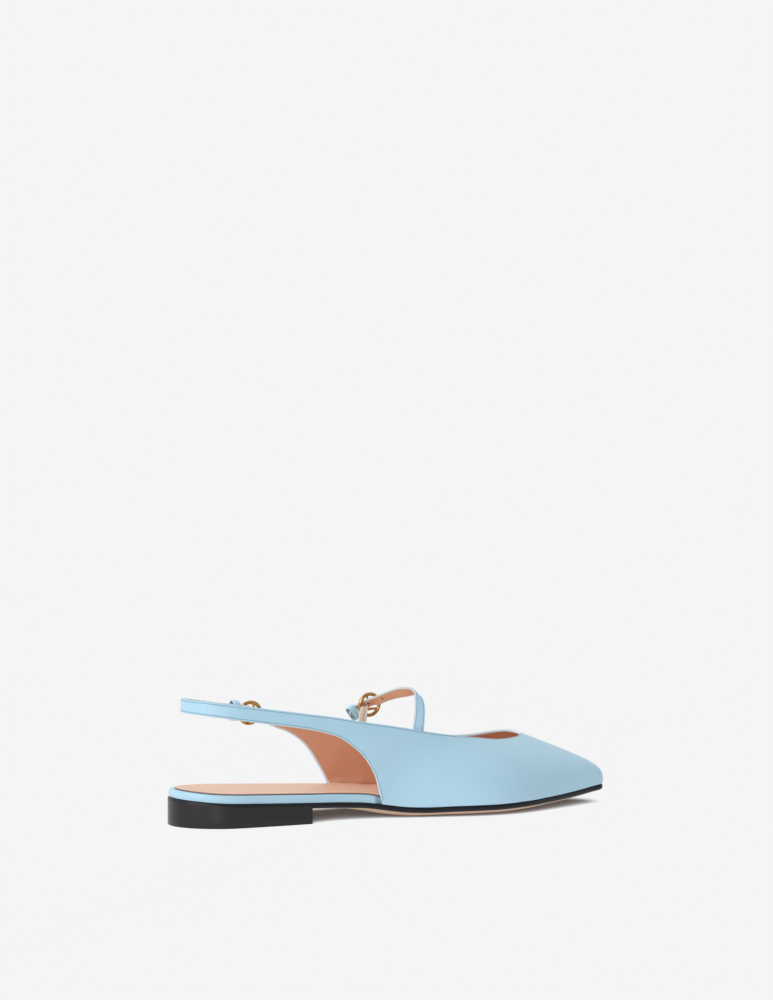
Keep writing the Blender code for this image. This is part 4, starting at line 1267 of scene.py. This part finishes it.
@dataclass
class Buckle:
    """Wire ring with a bar and a prong, placed by the middle of its ring.

    Attributes:
        name: start of the names of its solids.
        centre: middle of the ring.
        along: direction along the foot.
        up: direction up the ring.
    """

    name: str
    centre: Array
    along: Array
    up: Array
    ring_radius: float = 0.0061
    wire: float = 0.0010
    bar_radius: float = 0.0007
    prong: float = 0.0005
    gap: float = 0.0003

    def __post_init__(self) -> None:
        """Square the axes up, with the third pointing out of the shoe."""
        self.along = unit(self.along)
        self.out = unit(np.cross(self.up, self.along))
        self.up = np.cross(self.along, self.out)

    def ring(self) -> Skin:
        """Wire bent to a circle: centre + R (cos t along + sin t up)."""
        turn = np.linspace(0, 2 * math.pi, 120, endpoint=False)[:, None]
        path = self.centre + self.ring_radius * (np.cos(turn) * self.along + np.sin(turn) * self.up)
        return tube(path, self.wire, self.out, True, 28)

    def bent(self, path: list | Array, radius: float, side: Array) -> Skin:
        """Rod along a smooth curve through the points of a path."""
        path = np.asarray(path, float)
        run = run_along(path)
        return tube(smooth(run, path, np.linspace(0, run[-1], 60)), radius, side, False)

    def hook(self, root: Array, turn: tuple, points: tuple, ahead: Array) -> list:
        """Middle line of a prong: round its bar, then through the given places."""
        hug = self.bar_radius + self.gap + self.prong
        path = [root + hug * (math.cos(a) * ahead + math.sin(a) * self.out) for a in np.radians(turn)]
        path.extend(root + point.ahead * ahead + point.out * self.out for point in points)
        return path

    def clear(self) -> float:
        """Height of the prong's middle line over the ring's, where the tip lies on the wire."""
        return self.wire + self.gap + self.prong

    def show(self, bar: Skin, prong: Skin) -> None:
        """Ring with its bar, and the prong."""
        ring = Skin.joined([self.ring(), bar])
        show(ring, self.name + "_buckle_gold", [GOLD], (self.name + "_buckle",))
        show(prong, self.name + "_prong_gold", [GOLD], (self.name + "_prong",))


@dataclass
class Fastenings:
    """Both buckles, their keepers and the elastic tab."""

    last: Last
    strap: InstepStrap
    bar_drop: float = 0.0024
    prong_side: float = -0.0012
    bar_bow: float = 0.0041
    keeper_wall: float = 0.0009
    keeper_length: float = 0.0042
    keeper_row: float = 12.5
    keeper_slack: float = 0.0012
    keeper_shift: float = 0.0008
    keeper_corner: float = 0.00035
    squareness: float = 0.45
    tab_foot_width: float = 0.0062
    tab_head_width: float = 0.0044
    tab_thickness: float = 0.0010
    tab_return: float = 0.0030
    tab_flare: float = 0.3
    tab_squareness: float = 0.3
    tab_ribs: int = 7
    tab_rib_depth: float = 0.2
    tab_stripes: tuple[float, ...] = (-0.12, 0.16)

    def build(self) -> None:
        """Every fastening."""
        self.build_instep_buckle()
        self.build_sling_buckle()
        self.build_keepers()
        self.build_tab()

    def instep_buckle(self) -> Buckle:
        """Ring of the instep buckle, before its bar and prong."""
        return Buckle("instep", self.last.place([INSTEP_RING])[0], INSTEP_RING_ALONG, INSTEP_RING_UP)

    def build_instep_buckle(self) -> None:
        """Upright ring with a low straight bar."""
        buckle = self.instep_buckle()
        reach = math.sqrt(buckle.ring_radius**2 - self.bar_drop**2)
        low = buckle.centre - self.bar_drop * buckle.up
        line = low + np.linspace(-reach, reach, 3)[:, None] * buckle.along
        bar = buckle.bent(line, buckle.bar_radius, buckle.out)
        aside = self.prong_side * buckle.along
        path = buckle.hook(low + aside, INSTEP_PRONG_TURN, INSTEP_PRONG, buckle.up)
        path.append(buckle.centre + buckle.ring_radius * buckle.up + buckle.clear() * buckle.out + aside)
        buckle.show(bar, buckle.bent(path, buckle.prong, buckle.along))

    def build_sling_buckle(self) -> None:
        """Ring on the tongue with a bar bowed in to the strap's end."""
        buckle = Buckle("sling", self.last.place([SLING_RING])[0], SLING_ALONG, SLING_UP)
        rise = np.array(SLING_BAR_RISE)[:, None] * buckle.ring_radius
        bow = np.array(SLING_BAR_IN)[:, None] * self.bar_bow
        line = buckle.centre + rise * buckle.up - bow * buckle.out
        bar = buckle.bent(line, buckle.bar_radius, buckle.along)
        root = buckle.centre - self.bar_bow * buckle.out
        path = buckle.hook(root, SLING_PRONG_TURN, SLING_PRONG, buckle.along)
        tip = buckle.ring_radius + buckle.wire
        path.append(buckle.centre + tip * buckle.along + buckle.clear() * buckle.out)
        buckle.show(bar, buckle.bent(path, buckle.prong, buckle.up))

    def loop(self, centre: Array, along: Array, up: Array, half_up: float, half_out: float) -> Skin:
        """Leather loop: a rounded oblong with a section rounded at its four edges."""
        along = unit(along)
        out = unit(np.cross(up, along))
        up = np.cross(along, out)
        turn = np.linspace(0, 2 * math.pi, 96, endpoint=False)
        ring_up = squared(np.sin(turn), self.squareness)
        ring_out = squared(np.cos(turn), self.squareness)
        bend = np.linspace(0, 2 * math.pi, 32, endpoint=False) + math.pi / 32
        corner = self.keeper_corner
        half_length = self.keeper_length / 2
        half_wall = self.keeper_wall / 2
        reach = np.sign(np.cos(bend)) * (half_length - corner) + corner * np.cos(bend)
        extra = np.sign(np.sin(bend)) * (half_wall - corner) + corner * np.sin(bend) + half_wall
        tall = (half_up + extra)[:, None, None] * ring_up[:, None] * up
        deep = (half_out + extra)[:, None, None] * ring_out[:, None] * out
        points = centre + reach[:, None, None] * along + tall + deep
        quads = grid_quads(len(bend), len(turn), wrap_rows=True, wrap_columns=True)
        # The inner half of the section takes the second finish, a painted shade inside the loop.
        lining = np.repeat((np.sin(bend) < 0).astype(int), len(turn))
        return Skin(points.reshape(-1, 3), quads, lining)

    def build_keepers(self) -> None:
        """Loop round the instep strap's free end, and loop that holds the tongue."""
        rear, front, rows = self.strap.lines(rounded=False)
        at = int(np.argmin(np.abs(rows - self.keeper_row)))
        middle = (rear + front) / 2
        along = middle[at + 3] - middle[at - 3]
        up = rear[at] - front[at]
        out = unit(np.cross(up, along))
        gap = self.last.gap
        half = self.strap.thickness / 2
        centre = middle[at] + out * self.keeper_shift
        skin = self.loop(centre, along, up, np.linalg.norm(up) / 2 + 2 * gap, half + self.keeper_slack)
        finishes = [STRAP_LEATHER_LIT, KEEPER_INSIDE_SHADE]
        show(skin, "instep_keeper_loop", finishes, ("instep_keeper",))
        skin = self.loop(self.last.place([SLING_KEEPER])[0], SLING_ALONG, SLING_UP, *SLING_KEEPER_HALVES)
        show(skin, "sling_keeper_loop", finishes, ("sling_keeper",))

    def build_tab(self) -> None:
        """Ribbed elastic strip from inside the quarter, over the instep buckle's bar and down again."""
        foot, head = self.last.place([TAB_FOOT, TAB_HEAD])
        buckle = self.instep_buckle()
        bar = buckle.centre - self.bar_drop * buckle.up
        bar = bar + buckle.along * (head[0] - bar[0]) / buckle.along[0]
        bend = buckle.bar_radius + buckle.gap / 3 + self.tab_thickness / 2
        turn = np.radians(np.linspace(180, 0, 15))[:, None]
        over = bar + bend * (np.cos(turn) * buckle.out + np.sin(turn) * buckle.up)
        rise = np.linspace(0, 1, 24)[:-1, None]
        behind = foot + rise * (over[0] - foot)
        fall = buckle.up + self.tab_flare * buckle.out
        down = over[-1] - np.linspace(0, self.tab_return, 8)[1:, None] * fall
        path = np.concatenate([behind, over, down])
        run = run_along(path)
        width = np.interp(run, [0, run[len(behind)]], [self.tab_foot_width, self.tab_head_width])
        deep = unit(np.cross(np.gradient(path, axis=0), buckle.along))
        turn = np.linspace(0, 2 * math.pi, 160, endpoint=False)
        wide = squared(np.cos(turn), self.tab_squareness)
        thick = squared(np.sin(turn), self.tab_squareness)
        ribs = 1 - self.tab_rib_depth * (0.5 + 0.5 * np.cos(wide * self.tab_ribs * math.pi))
        side = (wide * width[:, None] / 2)[..., None] * buckle.along
        points = path[:, None] + side + (thick * ribs * self.tab_thickness / 2)[:, None] * deep[:, None]
        ends = np.stack([points[0].mean(axis=0) + 0 * points[0], points[-1].mean(axis=0) + 0 * points[-1]])
        points = np.concatenate([ends[:1], points, ends[1:]])
        quads = grid_quads(len(points), len(turn), wrap_columns=True)
        stripe = np.digitize(wide, self.tab_stripes)
        skin = Skin(points.reshape(-1, 3), quads, np.tile(stripe, len(points) - 1))
        finishes = [BEIGE_ELASTIC, GREY_ELASTIC, WHITE_ELASTIC]
        show(skin, "instep_tab_elastic", finishes, ("instep_tab",))


@dataclass(frozen=True)
class Sun:
    """Soft distant light.

    Attributes:
        towards: direction that the light travels in.
        strength: light on a surface square to it.
        angle: width of the light in degrees.
    """

    name: str
    towards: tuple[float, float, float]
    strength: float
    angle: float

    def build(self) -> None:
        """Light object turned to its direction."""
        light = bpy.data.lights.new(self.name, "SUN")
        light.energy = self.strength
        light.angle = math.radians(self.angle)
        piece = bpy.data.objects.new(self.name, light)
        piece.rotation_euler = Vector(self.towards).to_track_quat("-Z", "Y").to_euler()
        bpy.context.scene.collection.objects.link(piece)


@dataclass
class Studio:
    """Glowing floor with a painted shadow, surround that is brighter behind and above, soft lights and the
    photo's camera.
    """

    last: Last
    surround: float = 0.913
    sky_axis: tuple[float, float, float] = (0.28, 0.65, 0.70)
    sky_range: tuple[float, float] = (-0.4, 0.9)
    sky_tones: tuple[float, float] = (0.24, 0.98)
    shade_reach: float = 0.2
    shade_lean: tuple[float, float, float] = (-0.52, -0.62, 0.59)
    shade_range: tuple[float, float] = (0.26, 0.64)
    shade_colour: tuple[float, float, float] = (0.085, 0.064, 0.055)
    floor_reach: float = 40.0
    camera_from_heel: tuple[float, float, float] = (-0.47630, -1.36178, 0.19720)
    yaw: float = 23.93113
    pitch: float = 0.848281
    lens: float = 95.956
    suns: tuple[Sun, ...] = (
        Sun("key_light", (0.82, 0.36, -0.44), 1.8, 50),
        Sun("heel_glint_light", (0.47, 0.88, -0.06), 0.35, 12),
    )

    def build(self) -> None:
        """Everything round the shoe."""
        bpy.context.scene.view_settings.view_transform = "Standard"
        self.build_world()
        for sun in self.suns:
            sun.build()
        self.build_floor()
        self.build_camera()

    def build_world(self) -> None:
        """Even backdrop for the camera; for the light on the shoe, a soft change of tone along one axis."""
        world = bpy.data.worlds.new("studio_surround")
        bpy.context.scene.world = world
        world.use_nodes = True
        tree = world.node_tree
        backdrop = tree.nodes["Background"]
        backdrop.inputs["Color"].default_value = (self.surround, self.surround, self.surround, 1.0)
        places = tree.nodes.new("ShaderNodeTexCoord")
        along = tree.nodes.new("ShaderNodeVectorMath")
        along.operation = "DOT_PRODUCT"
        along.inputs[1].default_value = unit(self.sky_axis)
        tone = tree.nodes.new("ShaderNodeMapRange")
        tone.interpolation_type = "SMOOTHSTEP"
        ends = ("From Min", "From Max", "To Min", "To Max")
        for name, value in zip(ends, self.sky_range + self.sky_tones):
            tone.inputs[name].default_value = value
        sky = tree.nodes.new("ShaderNodeBackground")
        rays = tree.nodes.new("ShaderNodeLightPath")
        chosen = tree.nodes.new("ShaderNodeMixShader")
        tree.links.new(places.outputs["Generated"], along.inputs[0])
        tree.links.new(along.outputs["Value"], tone.inputs["Value"])
        tree.links.new(tone.outputs["Result"], sky.inputs["Color"])
        tree.links.new(rays.outputs["Is Camera Ray"], chosen.inputs[0])
        tree.links.new(sky.outputs["Background"], chosen.inputs[1])
        tree.links.new(backdrop.outputs["Background"], chosen.inputs[2])
        tree.links.new(chosen.outputs["Shader"], tree.nodes["World Output"].inputs["Surface"])

    def build_floor(self) -> None:
        """Wide glowing floor, whose glow darkens softly to brown where the shoe closes it in: a painted
        shadow.
        """
        wires = Wires("glowing_floor_painted_shadow")
        lean = wires.node("ShaderNodeCombineXYZ", **dict(zip("XYZ", self.shade_lean)))
        # An occlusion test leaning to the front left sets how much glow is kept, which paints the shoe's
        # shadow onto the floor.
        closed = wires.node("ShaderNodeAmbientOcclusion", Distance=self.shade_reach, samples=24)
        wires.link(lean.outputs["Vector"], closed.inputs["Normal"])
        open_share = wires.node("ShaderNodeMapRange", interpolation_type="SMOOTHSTEP")
        open_share.inputs["From Min"].default_value = self.shade_range[0]
        open_share.inputs["From Max"].default_value = self.shade_range[1]
        wires.link(closed.outputs["AO"], open_share.inputs["Value"])
        tone = wires.blend(open_share.outputs["Result"], self.shade_colour, (self.surround,) * 3)
        wires.link(tone, wires.shader.inputs["Emission Color"])
        wires.shader.inputs["Emission Strength"].default_value = 1.0
        wires.shader.inputs["Base Color"].default_value = (0.0, 0.0, 0.0, 1.0)
        wires.shader.inputs["Specular IOR Level"].default_value = 0.0
        far = self.floor_reach
        corners = np.array(((-far, -far, 0.0), (far, -far, 0.0), (far, far, 0.0), (-far, far, 0.0)))
        mesh = Skin(corners, np.arange(4)[None], np.zeros(1, int)).mesh("floor")
        mesh.materials.append(wires.material)
        floor = bpy.data.objects.new("floor", mesh)
        bpy.context.scene.collection.objects.link(floor)

    def build_camera(self) -> None:
        """Camera at the photo's place and angle."""
        camera = bpy.data.cameras.new("photo_camera")
        camera.lens = self.lens
        piece = bpy.data.objects.new("photo_camera", camera)
        piece.location = self.last.origin + self.camera_from_heel
        piece.rotation_euler = (math.radians(90 - self.pitch), 0.0, -math.radians(self.yaw))
        bpy.context.scene.collection.objects.link(piece)
        bpy.context.scene.camera = piece


def main() -> None:
    """Build every piece of the shoe, then the stage."""
    logging.basicConfig(level=logging.INFO, format="%(message)s")
    last = Last()
    last.find_origin()
    strap = InstepStrap(last)
    Upper(last).build()
    SoleUnit(last).build()
    strap.build()
    Fastenings(last, strap).build()
    Studio(last).build()


if __name__ == "__main__":
    main()
